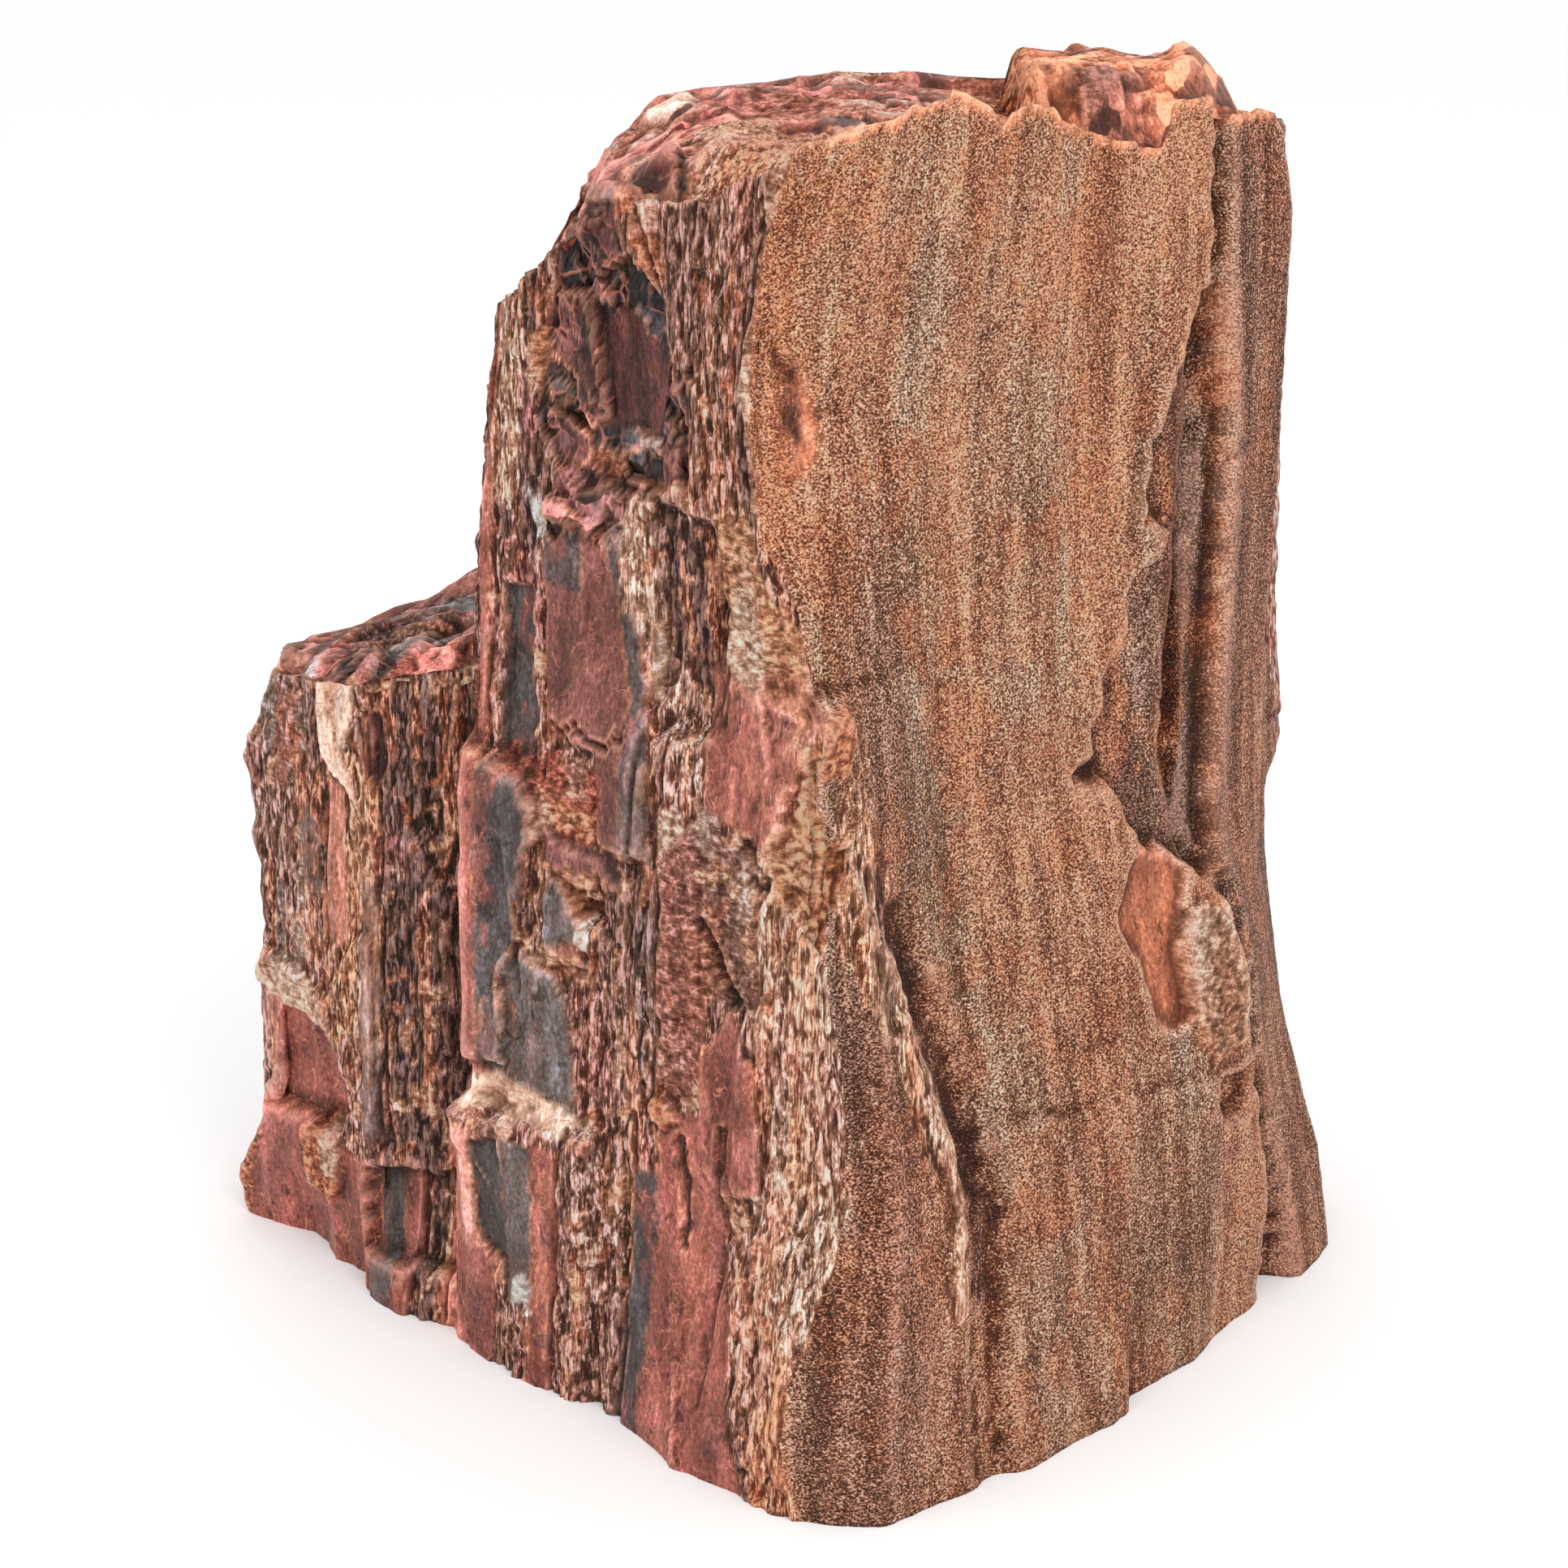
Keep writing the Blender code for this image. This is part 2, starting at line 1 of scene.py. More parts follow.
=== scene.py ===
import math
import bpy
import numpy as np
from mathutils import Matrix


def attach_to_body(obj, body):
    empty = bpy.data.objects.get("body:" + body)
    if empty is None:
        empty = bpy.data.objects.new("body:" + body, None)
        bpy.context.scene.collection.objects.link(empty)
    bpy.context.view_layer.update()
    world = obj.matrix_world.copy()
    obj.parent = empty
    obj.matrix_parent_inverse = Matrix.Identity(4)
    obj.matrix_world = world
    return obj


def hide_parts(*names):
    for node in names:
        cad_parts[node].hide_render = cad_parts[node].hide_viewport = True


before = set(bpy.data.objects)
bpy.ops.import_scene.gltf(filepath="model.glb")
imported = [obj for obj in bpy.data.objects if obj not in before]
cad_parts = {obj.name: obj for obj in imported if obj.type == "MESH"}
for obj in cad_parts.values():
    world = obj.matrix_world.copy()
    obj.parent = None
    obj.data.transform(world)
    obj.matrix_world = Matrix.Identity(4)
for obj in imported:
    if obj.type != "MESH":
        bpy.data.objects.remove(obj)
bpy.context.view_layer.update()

# %% [markdown]
# A piece of petrified wood is a tree trunk turned to stone. Ours is broken on every side but one:
# the right face is the old outer skin of the trunk, and the left side shows the fibres and the
# glassy red jasper inside it.

MM = 0.001

# %% [markdown]
# Every shape below is a function of two parameters. The running place u goes once round the stone
# in millimetres: 0 at the near corner, negative to the left, positive to the right. The level t
# climbs it: 0 foot, 1 shoulder of the low block, 2 neck of the main block, 3 rim, 4 middle of the
# top. A few small helpers do most of the work: a soft step, a table that is read anywhere between
# its rows, and noise made from whole-number counts, so that it is the same on every computer.

# %% Helpers: soft step, table, noise


def smooth(low, high, value):
    """Goes from 0 at low to 1 at high with a level start and end: 3 p squared less 2 p cubed."""
    part = np.clip((value - low) / (high - low), 0.0, 1.0)
    return part * part * (3.0 - 2.0 * part)


def within(value, low, high, soft=3.0):
    """1 where a value lies between two numbers, with soft ends."""
    return smooth(low - soft, low + soft, value) * (1.0 - smooth(high - soft, high + soft, value))


def table(rows, place, column=1):
    """Reads one column of a short table of rows at any place, straight between its rows."""
    rows = np.asarray(rows, float)
    return np.interp(place, rows[:, 0], rows[:, column])


def lattice(ix, iy, iz, seed):
    """A fixed number from 0 to 1 for each whole-number point, mixed from its three counts."""
    mixed = (ix * 73856093) ^ (iy * 19349663) ^ (iz * 83492791) ^ (seed * 49979687)
    mixed = (mixed ^ (mixed >> 13)) * 1274126177
    return ((mixed ^ (mixed >> 16)) & 0xFFFF) / 65535.0


def noise(x, y, z, seed):
    """Smooth noise from -1 to 1: the eight lattice numbers round a point, blended between them."""
    cells = [np.floor(v).astype(np.int64) for v in (x, y, z)]
    shares = [smooth(0.0, 1.0, v - c) for v, c in zip((x, y, z), cells)]
    total = np.zeros(np.broadcast(x, y, z).shape)
    for corner in range(8):
        steps = (corner & 1, (corner >> 1) & 1, (corner >> 2) & 1)
        weight = 1.0
        for step, share in zip(steps, shares):
            weight = weight * (share if step else 1.0 - share)
        total += weight * lattice(*[c + s for c, s in zip(cells, steps)], seed)
    return 2.0 * total - 1.0


print('helpers ready')

# %% [markdown]
# Glassy stone breaks into flat faces, each tilted its own way. A pattern of cells gives them: space
# is cut into cubes, each cube holds one scattered point, and every place belongs to the nearest
# point. That point also says how high its face lies and how it tilts. A sculpted brush could do
# this by hand, but a formula covers the whole stone evenly and can be changed at any time.

# %% Helpers: broken faces


def broken_faces(x, y, z, seed):
    """Broken faces: the nearest of one scattered point per cell gives a height and a slope.

    It also gives how far a place is from the edge between two faces, and a fixed number per face.
    """
    cells = [np.floor(v).astype(np.int64) for v in (x, y, z)]
    shape = np.broadcast(x, y, z).shape
    nearest = np.full(shape, 99.0)
    second = np.full(shape, 99.0)
    height = np.zeros(shape)
    face = np.zeros(shape)
    for step in range(27):
        cx = cells[0] + step // 9 - 1
        cy = cells[1] + (step // 3) % 3 - 1
        cz = cells[2] + step % 3 - 1
        ex = x - cx - lattice(cx, cy, cz, seed)
        ey = y - cy - lattice(cx, cy, cz, seed + 1)
        ez = z - cz - lattice(cx, cy, cz, seed + 2)
        distance = ex * ex + ey * ey + ez * ez
        slope = [lattice(cx, cy, cz, seed + k) - 0.5 for k in (3, 4, 5)]
        own = lattice(cx, cy, cz, seed + 6)
        here = own - 0.5 + ex * slope[0] + ey * slope[1] + ez * slope[2]
        closer = distance < nearest
        second = np.where(closer, nearest, np.minimum(second, distance))
        nearest = np.where(closer, distance, nearest)
        height = np.where(closer, here, height)
        face = np.where(closer, own, face)
    return height, np.sqrt(second) - np.sqrt(nearest), face


def facets(x, y, z, seed):
    """Only the height of the broken faces, brought down to nought where two of them meet."""
    height, gap, _ = broken_faces(x, y, z, seed)
    return height * smooth(0.0, 0.13, gap)


print('broken faces ready')

# %% [markdown]
# The broken places are drawn as outlines on the unrolled face, in running place and height. A point
# is inside an outline when a line from it crosses the outline an odd number of times, and the
# distance to the nearest side gives a soft edge in millimetres.

# %% Helpers: inside an outline, and near a line


def side_distance(points, u, z):
    """Distance from each place to the nearest straight side of a row of points."""
    nearest = np.full(np.broadcast(u, z).shape, 1.0e9)
    for (ua, za), (ub, zb) in zip(points[:-1], points[1:]):
        du, dz = ub - ua, zb - za
        share = np.clip(((u - ua) * du + (z - za) * dz) / (du * du + dz * dz), 0.0, 1.0)
        nearest = np.minimum(nearest, np.hypot(u - ua - share * du, z - za - share * dz))
    return nearest


def inside(outline, u, z, soft=2.0):
    """1 inside a closed outline and 0 outside it, blended over a soft edge in mm."""
    points = [tuple(map(float, p)) for p in outline] + [tuple(map(float, outline[0]))]
    low_u = min(p[0] for p in points) - soft
    high_u = max(p[0] for p in points) + soft
    reach = (u >= low_u) & (u <= high_u)
    result = np.zeros(reach.shape)
    here_u, here_z = u[reach], z[reach]
    nearest = side_distance(points, here_u, here_z)
    odd = np.zeros(here_u.shape, bool)
    for (ua, za), (ub, zb) in zip(points[:-1], points[1:]):
        crosses = (za > here_z) != (zb > here_z)
        where = ua + (here_z - za) * (ub - ua) / ((zb - za) if zb != za else 1.0e-9)
        odd ^= crosses & (here_u < where)
    result[reach] = smooth(-soft, soft, np.where(odd, nearest, -nearest))
    return result


def line_cut(path, u, z, width):
    """1 on a path and falling away to 0 at its width on both sides."""
    return 1.0 - smooth(0.0, width, side_distance(path, u, z))


def strip(u_low, u_high, z_low, z_high):
    """An upright four-sided outline."""
    return [(u_low, z_low), (u_high, z_low), (u_high, z_high), (u_low, z_high)]


print('outline helpers ready')

# %% [markdown]
# The plan of the stone comes from upright edge lines, as a dressmaker's pattern comes from its
# seams. Each line says where that edge stands at a few levels, and the surface is straight between
# neighbouring lines, which keeps the flat broken look of stone.

# %% Main heights and the edge lines of the low block and the back
SHOULDER_HEIGHT = 215.0
NECK_HEIGHT = 255.0
HUB = (25.0, 20.0)
CENTRE_SHIFT = (0.5, -2.6)

# The low left block and the back: level, x, y
SEAM_LINE = [(0, 30, 130), (3, 20, 122)]
BACK_MIDDLE = [(0, -50, 130), (1, -50, 124), (2, -48, 118), (3, -40, 108)]
BACK_LEFT = [(0, -140, 122), (1, -132, 112), (2, -80, 92), (3, -66, 84)]
LEFT_BACK = [(0, -184, 98), (1, -170, 84), (2, -92, 52), (3, -80, 46)]
LEFT_CORNER = [(0, -193, 60), (0.08, -195, 60), (0.2, -184, 49), (0.29, -178, 43), (0.5, -178, 41),
               (0.56, -176, 41), (0.85, -179, 44), (1, -168, 36), (2, -95, 14), (3, -84, 8)]
LEFT_KNOB = [(0, -163, 36), (0.2, -160, 28), (0.5, -156, 18), (1, -151, 14), (2, -95, 0), (3, -84, -8)]
CREAM_RIDGE = [(0, -141, 2), (0.5, -136, -3), (1, -133, -3), (2, -95, -10), (3, -84, -18)]
INNER_CORNER = [(0, -103, -20), (0.5, -98, -20), (1, -94, -16), (2, -93, -14), (3, -84, -22)]
print('stone is', SHOULDER_HEIGHT, 'mm high at the shoulder of its low block')

# %% [markdown]
# The two faces that meet at the near corner are seen best, so their edge lines have the most points.
# These are given by height instead of by level, as one would read them off the real stone.

# %% Edge lines of the two faces: height, x, y
LEFT_FACE_EDGE = [(0, -98, -24), (80, -98, -33), (200, -97, -31), (215, -95, -24), (240, -94, -16),
                  (281, -91, -16), (322, -87, -20), (347, -84, -23)]
LEFT_FACE_MIDDLE = [(0, -62, -62), (80, -57, -67), (215, -52, -62), (255, -52, -52), (330, -51, -50),
                    (384, -53, -50)]
LEFT_FACE_INNER = [(0, -32, -97), (80, -20, -96), (215, -18, -92), (255, -18, -82), (330, -24, -76),
                   (387, -22, -77)]
NEAR_CORNER = [(0, 3, -128), (27, -3, -128), (64, 0, -127), (104, 12, -121), (153, 9, -120),
               (189, 8, -120), (215, 10, -119), (241, 10, -120), (249, 13, -117), (256, 8, -103),
               (277, 4, -99), (298, -5, -92), (329, -8, -89), (352, -7, -89), (379, -3, -93),
               (406, 5, -100)]
ROOT_RIB = [(0, 30, -131), (64, 32, -126), (104, 34, -117), (189, 24, -108), (249, 22, -98),
            (277, 20, -85), (329, 17, -74), (406, 28, -79)]
GROOVE_LINE = [(0, 66, -107), (60, 64, -98), (104, 60, -86), (160, 52, -76), (215, 46, -70),
               (277, 44, -62), (329, 42, -56), (406, 53, -55)]
FACE_MIDDLE = [(0, 105, -70), (104, 104, -52), (215, 92, -28), (329, 85, -20), (400, 88, -20)]
FACE_EDGE = [(0, 150, -18), (90, 152, -11), (120, 150, -8), (175, 134, -4), (215, 134, 2),
             (300, 134, 12), (403, 129, 18)]
RIGHT_EDGE = [(0, 192, 38), (40, 188, 38), (87, 172, 44), (144, 161, 46), (215, 158, 46),
              (300, 158, 45), (370, 158, 45), (396, 153, 43)]
RIGHT_SIDE = [(0, 184, 78), (1, 162, 80), (2, 160, 80), (3, 152, 78)]
BACK_RIGHT = [(0, 132, 122), (1, 122, 116), (2, 118, 114), (3, 108, 108)]

# Running place and height of the rim, then the top's height across x, and the ledge's front edge
RIM = [(-480, 395), (-400, 389), (-330, 363), (-300, 350), (-275, 340), (-245, 337), (-215, 340),
       (-178, 347), (-130, 347), (-104, 364), (-78, 384), (-36, 387), (-20, 394), (-6, 402), (0, 405),
       (20, 409), (40, 412), (60, 413), (70, 408), (75, 403), (82, 406), (90, 407),
       (98, 405), (110, 398), (120, 395), (140, 390), (149, 389), (153, 401), (160, 402),
       (171, 402), (177, 395), (200, 395), (211, 393), (222, 386), (262, 387), (330, 393),
       (420, 395)]
TOP_PROFILE = [(-90, 332), (-84, 338), (-74, 345), (-69, 352), (-63, 364), (-60, 375), (-53, 387),
               (-33, 398), (-16, 404), (20, 406), (45, 404), (65, 401), (110, 400), (140, 399),
               (170, 393)]
LEDGE_RIM = [(-170, 60), (-168, 36), (-151, 14), (-133, -3), (-94, -16)]


def front_line(rows):
    """Turns height, x, y rows into level, x, y rows: a level each for shoulder, neck and rim."""
    heights = (0.0, SHOULDER_HEIGHT, NECK_HEIGHT, rows[-1][0])
    return [(np.interp(z, heights, (0, 1, 2, 3)), x, y) for z, x, y in rows]


EDGE_LINES = [
    (-480, SEAM_LINE), (-400, BACK_MIDDLE), (-330, BACK_LEFT), (-280, LEFT_BACK),
    (-245, LEFT_CORNER), (-215, LEFT_KNOB), (-178, CREAM_RIDGE), (-137, INNER_CORNER),
    (-130, front_line(LEFT_FACE_EDGE)), (-78, front_line(LEFT_FACE_MIDDLE)),
    (-36, front_line(LEFT_FACE_INNER)), (0, front_line(NEAR_CORNER)), (30, front_line(ROOT_RIB)),
    (66, front_line(GROOVE_LINE)), (115, front_line(FACE_MIDDLE)), (172, front_line(FACE_EDGE)),
    (218, front_line(RIGHT_EDGE)), (262, RIGHT_SIDE), (330, BACK_RIGHT), (420, SEAM_LINE),
]
print(len(EDGE_LINES), 'upright edge lines')

# %% [markdown]
# Between the lines the surface is filled in. The low block has a ledge on top, which climbs to the
# right and steps up behind its rim. The top of the main block follows a profile, with a chamfer
# above the left face and one block that stands proud as the peak.

# %% The plain form of the stone


def ledge_height(x, y):
    """Top of the low block: it climbs to the right, steps up behind its rim, falls at the back."""
    behind = y - table(LEDGE_RIM, x)
    step = 5.0 * smooth(6.0, 14.0, behind)
    fall = 0.28 * np.maximum(0.0, y - 40.0)
    return 214.0 + 0.28 * (x + 170.0) + step - fall


PEAK_RISE = 16.0


def top_height(x, y):
    """Top of the main block: a profile across x, a chamfer above the left face, the peak block."""
    height = table(TOP_PROFILE, x) - 0.12 * np.maximum(0.0, y - 40.0)
    chamfer = 387.0 + 0.9 * (0.654 * (x - 5.0) + 0.757 * (y + 100.0))
    height = np.minimum(height, np.maximum(chamfer, 340.0))
    across = smooth(68.0, 71.0, x) * (1.0 - smooth(122.0, 142.0, x))
    along = smooth(-4.0, 10.0, y + 0.1 * x) * (1.0 - smooth(58.0, 80.0, y))
    broken = 5.0 * facets(x / 30.0, y / 30.0, np.zeros(x.shape), 41)
    return height + PEAK_RISE * across * along + broken


def base_surface(u, t):
    """Plain form at running place u and level t: the edge lines, blended straight between them."""
    xs = np.stack([table(line, t, 1) for _, line in EDGE_LINES])
    ys = np.stack([table(line, t, 2) for _, line in EDGE_LINES])
    places = np.array([place for place, _ in EDGE_LINES], float)
    right = np.clip(np.searchsorted(places, u, side='right'), 1, len(places) - 1)
    share = ((u - places[right - 1]) / (places[right] - places[right - 1]))[:, None]
    x = xs[right - 1] * (1.0 - share) + xs[right] * share
    y = ys[right - 1] * (1.0 - share) + ys[right] * share
    return x, y


def main_form(u, t):
    """The whole stone before its features: wall, ledge, upper wall and top, as x, y, z arrays."""
    x, y = base_surface(u, np.minimum(t, 3.0))
    shoulder_x, shoulder_y = base_surface(u, np.array([1.0]))
    neck_x, neck_y = base_surface(u, np.array([2.0]))
    on_block = (smooth(-350.0, -300.0, u) * (1.0 - smooth(-137.0, -130.0, u)))[:, None]
    shoulder = SHOULDER_HEIGHT + on_block * (ledge_height(shoulder_x, shoulder_y) - SHOULDER_HEIGHT)
    neck = NECK_HEIGHT + on_block * (ledge_height(neck_x, neck_y) - NECK_HEIGHT)
    rim = table(RIM, u)[:, None]
    level = t[None, :]
    between = shoulder + (neck - shoulder) * (level - 1.0)
    z = np.where(level <= 1.0, shoulder * level, between)
    ledge = between + on_block * (ledge_height(x, y) - between)
    z = np.where((level > 1.0) & (level < 2.0), ledge, z)
    z = np.where(level >= 2.0, neck + (rim - neck) * (level - 2.0), z)
    inward = np.clip(level - 3.0, 0.0, 1.0)
    x = x + (HUB[0] - x) * inward
    y = y + (HUB[1] - y) * inward
    settle = smooth(0.0, 0.16, inward)
    z = np.where(level > 3.0, rim + (top_height(x, y) - rim) * settle, z)
    return x, y, z


def outward(x, y, z):
    """Unit normals of the grid, from the differences between its neighbours."""
    du = [np.roll(v, -1, axis=0) - np.roll(v, 1, axis=0) for v in (x, y, z)]
    dt = [np.gradient(v, axis=1) for v in (x, y, z)]
    normal = np.stack([du[1] * dt[2] - du[2] * dt[1],
                       du[2] * dt[0] - du[0] * dt[2],
                       du[0] * dt[1] - du[1] * dt[0]])
    return normal / np.maximum(np.linalg.norm(normal, axis=0), 1.0e-9)


print('plain form ready')

# %% [markdown]
# A fine grid carries the detail. The columns are closest together on the left, where the fibres
# are about two millimetres wide, wider on the calm outer skin and widest round the back. The same
# could be had from a Subdivision Surface, but that spends as many points on the back as in front.

# %% The grid and the plain form on it
SEAM_START = -480.0
LEFT_END = -262.0
SKIN_START = 12.0
SKIN_END = 236.0
SEAM_END = 420.0
FIBRE_SPACING = 1.18
SKIN_SPACING = 2.1
BACK_SPACING = 5.0


def spaced(start, end, spacing):
    """Places from start up to but not including end, evenly spaced by about the given spacing."""
    return np.linspace(start, end, int(round((end - start) / spacing)), endpoint=False)


columns = np.concatenate([spaced(SEAM_START, LEFT_END, BACK_SPACING),
                          spaced(LEFT_END, SKIN_START, FIBRE_SPACING),
                          spaced(SKIN_START, SKIN_END, SKIN_SPACING),
                          spaced(SKIN_END, SEAM_END, BACK_SPACING)])
rows = np.concatenate([np.linspace(0.0, 1.0, 104, endpoint=False),
                       np.linspace(1.0, 2.0, 22, endpoint=False),
                       np.linspace(2.0, 3.0, 72, endpoint=False),
                       3.0 + 0.97 * np.linspace(0.0, 1.0, 37) ** 1.25])
place = np.repeat(columns[:, None], rows.size, axis=1)
level = np.repeat(rows[None, :], columns.size, axis=0)
form_x, form_y, form_z = main_form(columns, rows)
normal = outward(form_x, form_y, form_z)
normal[2][:, 0] = 0.0
for rim_level in (1.0, 3.0):
    near_rim = smooth(rim_level - 0.1, rim_level - 0.03, level)
    normal[2] *= 1.0 - near_rim * (1.0 - smooth(rim_level, rim_level + 0.01, level))
normal /= np.linalg.norm(normal, axis=0)
print(columns.size, 'columns by', rows.size, 'rows')

# %% [markdown]
# Where the stone broke, whole pieces came away. Each broken place is an outline with a rise or a
# depth. The places are read with a little noise added to them, so that the edges come out ragged
# and not ruled.

# %% Broken places right of the near corner
MISSING_LAYER = [(168, 345), (159, 322), (153, 313), (150, 305), (147, 295), (146, 277), (157, 272),
                 (147, 261), (141, 258), (140, 244), (134, 237), (128, 230), (126, 222), (122, 217),
                 (120, 205), (112, 204), (112, 200), (127, 200), (133, 190), (137, 184), (140, 176),
                 (159, 171), (170, 158), (180, 150), (184, 170), (184, 260), (180, 345)]
SMOOTH_CHIP = [(140, 176), (159, 170), (160, 161), (156, 151), (150, 141), (151, 127), (148, 118),
               (140, 115), (136, 120), (134, 131), (132, 142), (125, 154), (126, 161), (134, 170)]
GRAINY_FLAKE = [(157, 151), (170, 151), (179, 146), (178, 125), (172, 102), (158, 99), (150, 118),
                (151, 132), (150, 142)]
BELOW_CRACK = [(67, 113), (79, 108), (89, 107), (100, 103), (120, 103), (140, 98), (160, 97),
               (180, 94), (186, 60), (187, -20), (62, -20), (62, 60)]
DARK_POCKET = [(160, 93), (178, 91), (179, 82), (172, 76), (162, 80)]
RIB_CHIP = [(-3, 248), (2, 240), (1, 227), (8, 216), (18, 211), (19, 203), (11, 195), (4, 185),
            (-6, 189), (-13, 197), (-19, 203), (-17, 215), (-10, 231), (-7, 243)]
RIB_LUMP = [(-3, 249), (3, 254), (14, 252), (20, 247), (22, 239), (16, 235), (4, 237)]
CORNER_CHIP = [(-3, 356), (6, 350), (12, 344), (17, 336), (22, 326), (21, 316), (10, 311), (0, 318)]
CORNER_HOLLOW = [(4, 348), (12, 346), (16, 322), (10, 326)]
POST_GROOVE = [(177, 410), (177, 372), (176, 345), (174, 320), (172, 300), (170, 260), (167, 230),
               (165, 200), (172, 172), (182, 150), (184, 120), (184, 95), (188, 60), (191, 30),
               (193, -10)]
POST_GROOVE_DEPTH = [(0, 9), (60, 8), (100, 6), (150, 5), (200, 6), (300, 8), (320, 11), (345, 10),
                     (360, 5), (371, 11), (402, 12)]
ROOT_GROOVE = [(42, 185), (47, 160), (57, 133), (60, 112), (63, 97), (68, 82), (66, 60), (66, -10)]
CREAM_STRIPE = [(22, 202), (33, 180), (39, 166), (41, 142), (46, 124), (51, 110), (54, 95), (54, 60)]
print('deepest groove beside the post, mm:', max(depth for _, depth in POST_GROOVE_DEPTH))

# %% [markdown]
# Left of the near corner the trunk has split along its grain. Slabs and lenses of hard jasper stand
# proud, soft fibres have worn back, and one shell-like break shows where a shard jumped off.

# %% Broken places left of the near corner
SHELL_BREAKS = [(-84, 390), (-70, 381), (-64, 368), (-52, 355), (-48, 343), (-40, 338), (-40, 324),
                (-45, 308), (-60, 300), (-80, 300), (-98, 305), (-108, 318), (-104, 345), (-98, 368)]
JASPER_SLAB = [(-102, 292), (-80, 289), (-71, 287), (-66, 276), (-64, 262), (-62, 245), (-62, 214),
               (-64, 194), (-79, 191), (-81, 223), (-91, 222), (-99, 226), (-101, 250)]
GREY_FURROW = [(-121, 262), (-110, 264), (-107, 240), (-107, 212), (-120, 210)]
DARK_FIBRES = [(-58, 300), (-36, 296), (-32, 275), (-34, 250), (-40, 236), (-58, 232), (-60, 262)]
CRUMBLED_EDGE = [(-30, 300), (-12, 300), (-2, 276), (0, 256), (-14, 248), (-34, 250), (-30, 275)]
PROUD_COLUMN = [(-141, 212), (-120, 211), (-106, 206), (-104, 190), (-112, 156), (-116, 140),
                (-116, 112), (-141, 108)]
SMALL_LENS = [(-100, 192), (-84, 190), (-70, 184), (-78, 178), (-100, 180)]
LARGE_LENS = [(-101, 181), (-94, 178), (-87, 166), (-84, 152), (-100, 150)]
HOLLOW = [(-88, 177), (-80, 174), (-77, 168), (-84, 165), (-88, 169)]
CREAM_LUMP = [(-87, 167), (-78, 168), (-74, 162), (-80, 158), (-87, 161)]
GREY_FACE = [(-114, 151), (-96, 148), (-90, 132), (-87, 108), (-86, 98), (-116, 98), (-118, 136)]
LOWER_BLOCK = [(-141, 91), (-120, 94), (-100, 97), (-80, 99), (-78, 60), (-80, -20), (-141, -20)]
DARK_RECESS = [(-127, 84), (-116, 86), (-112, 66), (-113, 40), (-126, 44), (-129, 62)]
WEDGE = [(-31, 156), (-21, 142), (-20, 100), (-34, 92), (-42, 108), (-41, 138)]
UPPER_SLOT = [(-44, 181), (-41, 170), (-36, 162), (-31, 156), (-29, 158), (-35, 167), (-40, 177)]
LOWER_SLOT = [(-50, 106), (-47, 92), (-47, 72)]
SHARD_SLOT = [(-27, 208), (-20, 201), (-20, 196), (-24, 200)]
JASPER_KNOB = [(-59, 118), (-52, 119), (-49, 113), (-55, 110), (-60, 112)]
DARK_FACE = [(-83, 354), (-64, 352), (-52, 340), (-56, 318), (-78, 318)]
print('shell-like break with', len(SHELL_BREAKS), 'corners')

# %% [markdown]
# The low block has broken places of its own. All of them are then listed with their rise or depth
# and the width of their soft edge, and the foot gets a flare, as it spreads a little at the floor.

# %% Broken places of the low block, and the list of all
CREAM_SHARDS = [(-208, 224), (-178, 226), (-184, 206), (-190, 200), (-180, 180), (-188, 186),
                (-200, 190), (-207, 200)]
RED_LENS = [(-178, 216), (-171, 213), (-170, 198), (-174, 186), (-179, 192)]
SHELF_LIP = [(-244, 113), (-222, 112), (-204, 104), (-199, 92), (-215, 95), (-236, 99), (-246, 100)]
SHELF_FACET = [(-246, 98), (-235, 97), (-215, 92), (-201, 84), (-197, 68), (-204, 54), (-222, 52),
               (-246, 52)]
ORANGE_KNOB = [(-222, 52), (-214, 57), (-203, 54), (-199, 40), (-204, 23), (-219, 26)]
LOW_COLUMNS = [(-184, 47), (-165, 51), (-147, 55), (-140, 50), (-140, 18), (-184, 18)]

# Rise or depth in mm, and the width of the soft edge
BREAKS = [
    (MISSING_LAYER, -9.0, 1.2), (SMOOTH_CHIP, -4.0, 2.0), (GRAINY_FLAKE, 1.6, 1.2),
    (BELOW_CRACK, 1.8, 1.0), (DARK_POCKET, -7.0, 1.6), (RIB_CHIP, -3.6, 1.9), (RIB_LUMP, 2.2, 3.0),
    (CORNER_CHIP, -1.2, 1.0), (CORNER_HOLLOW, -1.4, 0.6), (SHELL_BREAKS, -2.0, 1.4),
    (JASPER_SLAB, 3.2, 1.4), (GREY_FURROW, -3.0, 1.6), (DARK_FIBRES, -4.0, 2.4),
    (CRUMBLED_EDGE, 1.5, 2.0), (PROUD_COLUMN, 4.5, 1.2), (SMALL_LENS, 2.0, 1.2),
    (LARGE_LENS, 2.6, 1.2), (HOLLOW, -7.0, 1.2), (CREAM_LUMP, 3.0, 1.6), (GREY_FACE, 2.6, 1.1),
    (LOWER_BLOCK, 7.5, 4.0), (DARK_RECESS, -2.5, 1.4), (WEDGE, 2.0, 1.8), (UPPER_SLOT, -4.0, 1.0),
    (JASPER_KNOB, 4.0, 1.2), (CREAM_SHARDS, 3.0, 1.4), (RED_LENS, -3.0, 1.2),
    (SHELF_LIP, 3.0, 1.6), (SHELF_FACET, -7.0, 1.5), (ORANGE_KNOB, 4.0, 2.0),
    (LOW_COLUMNS, -6.0, 1.5),
]

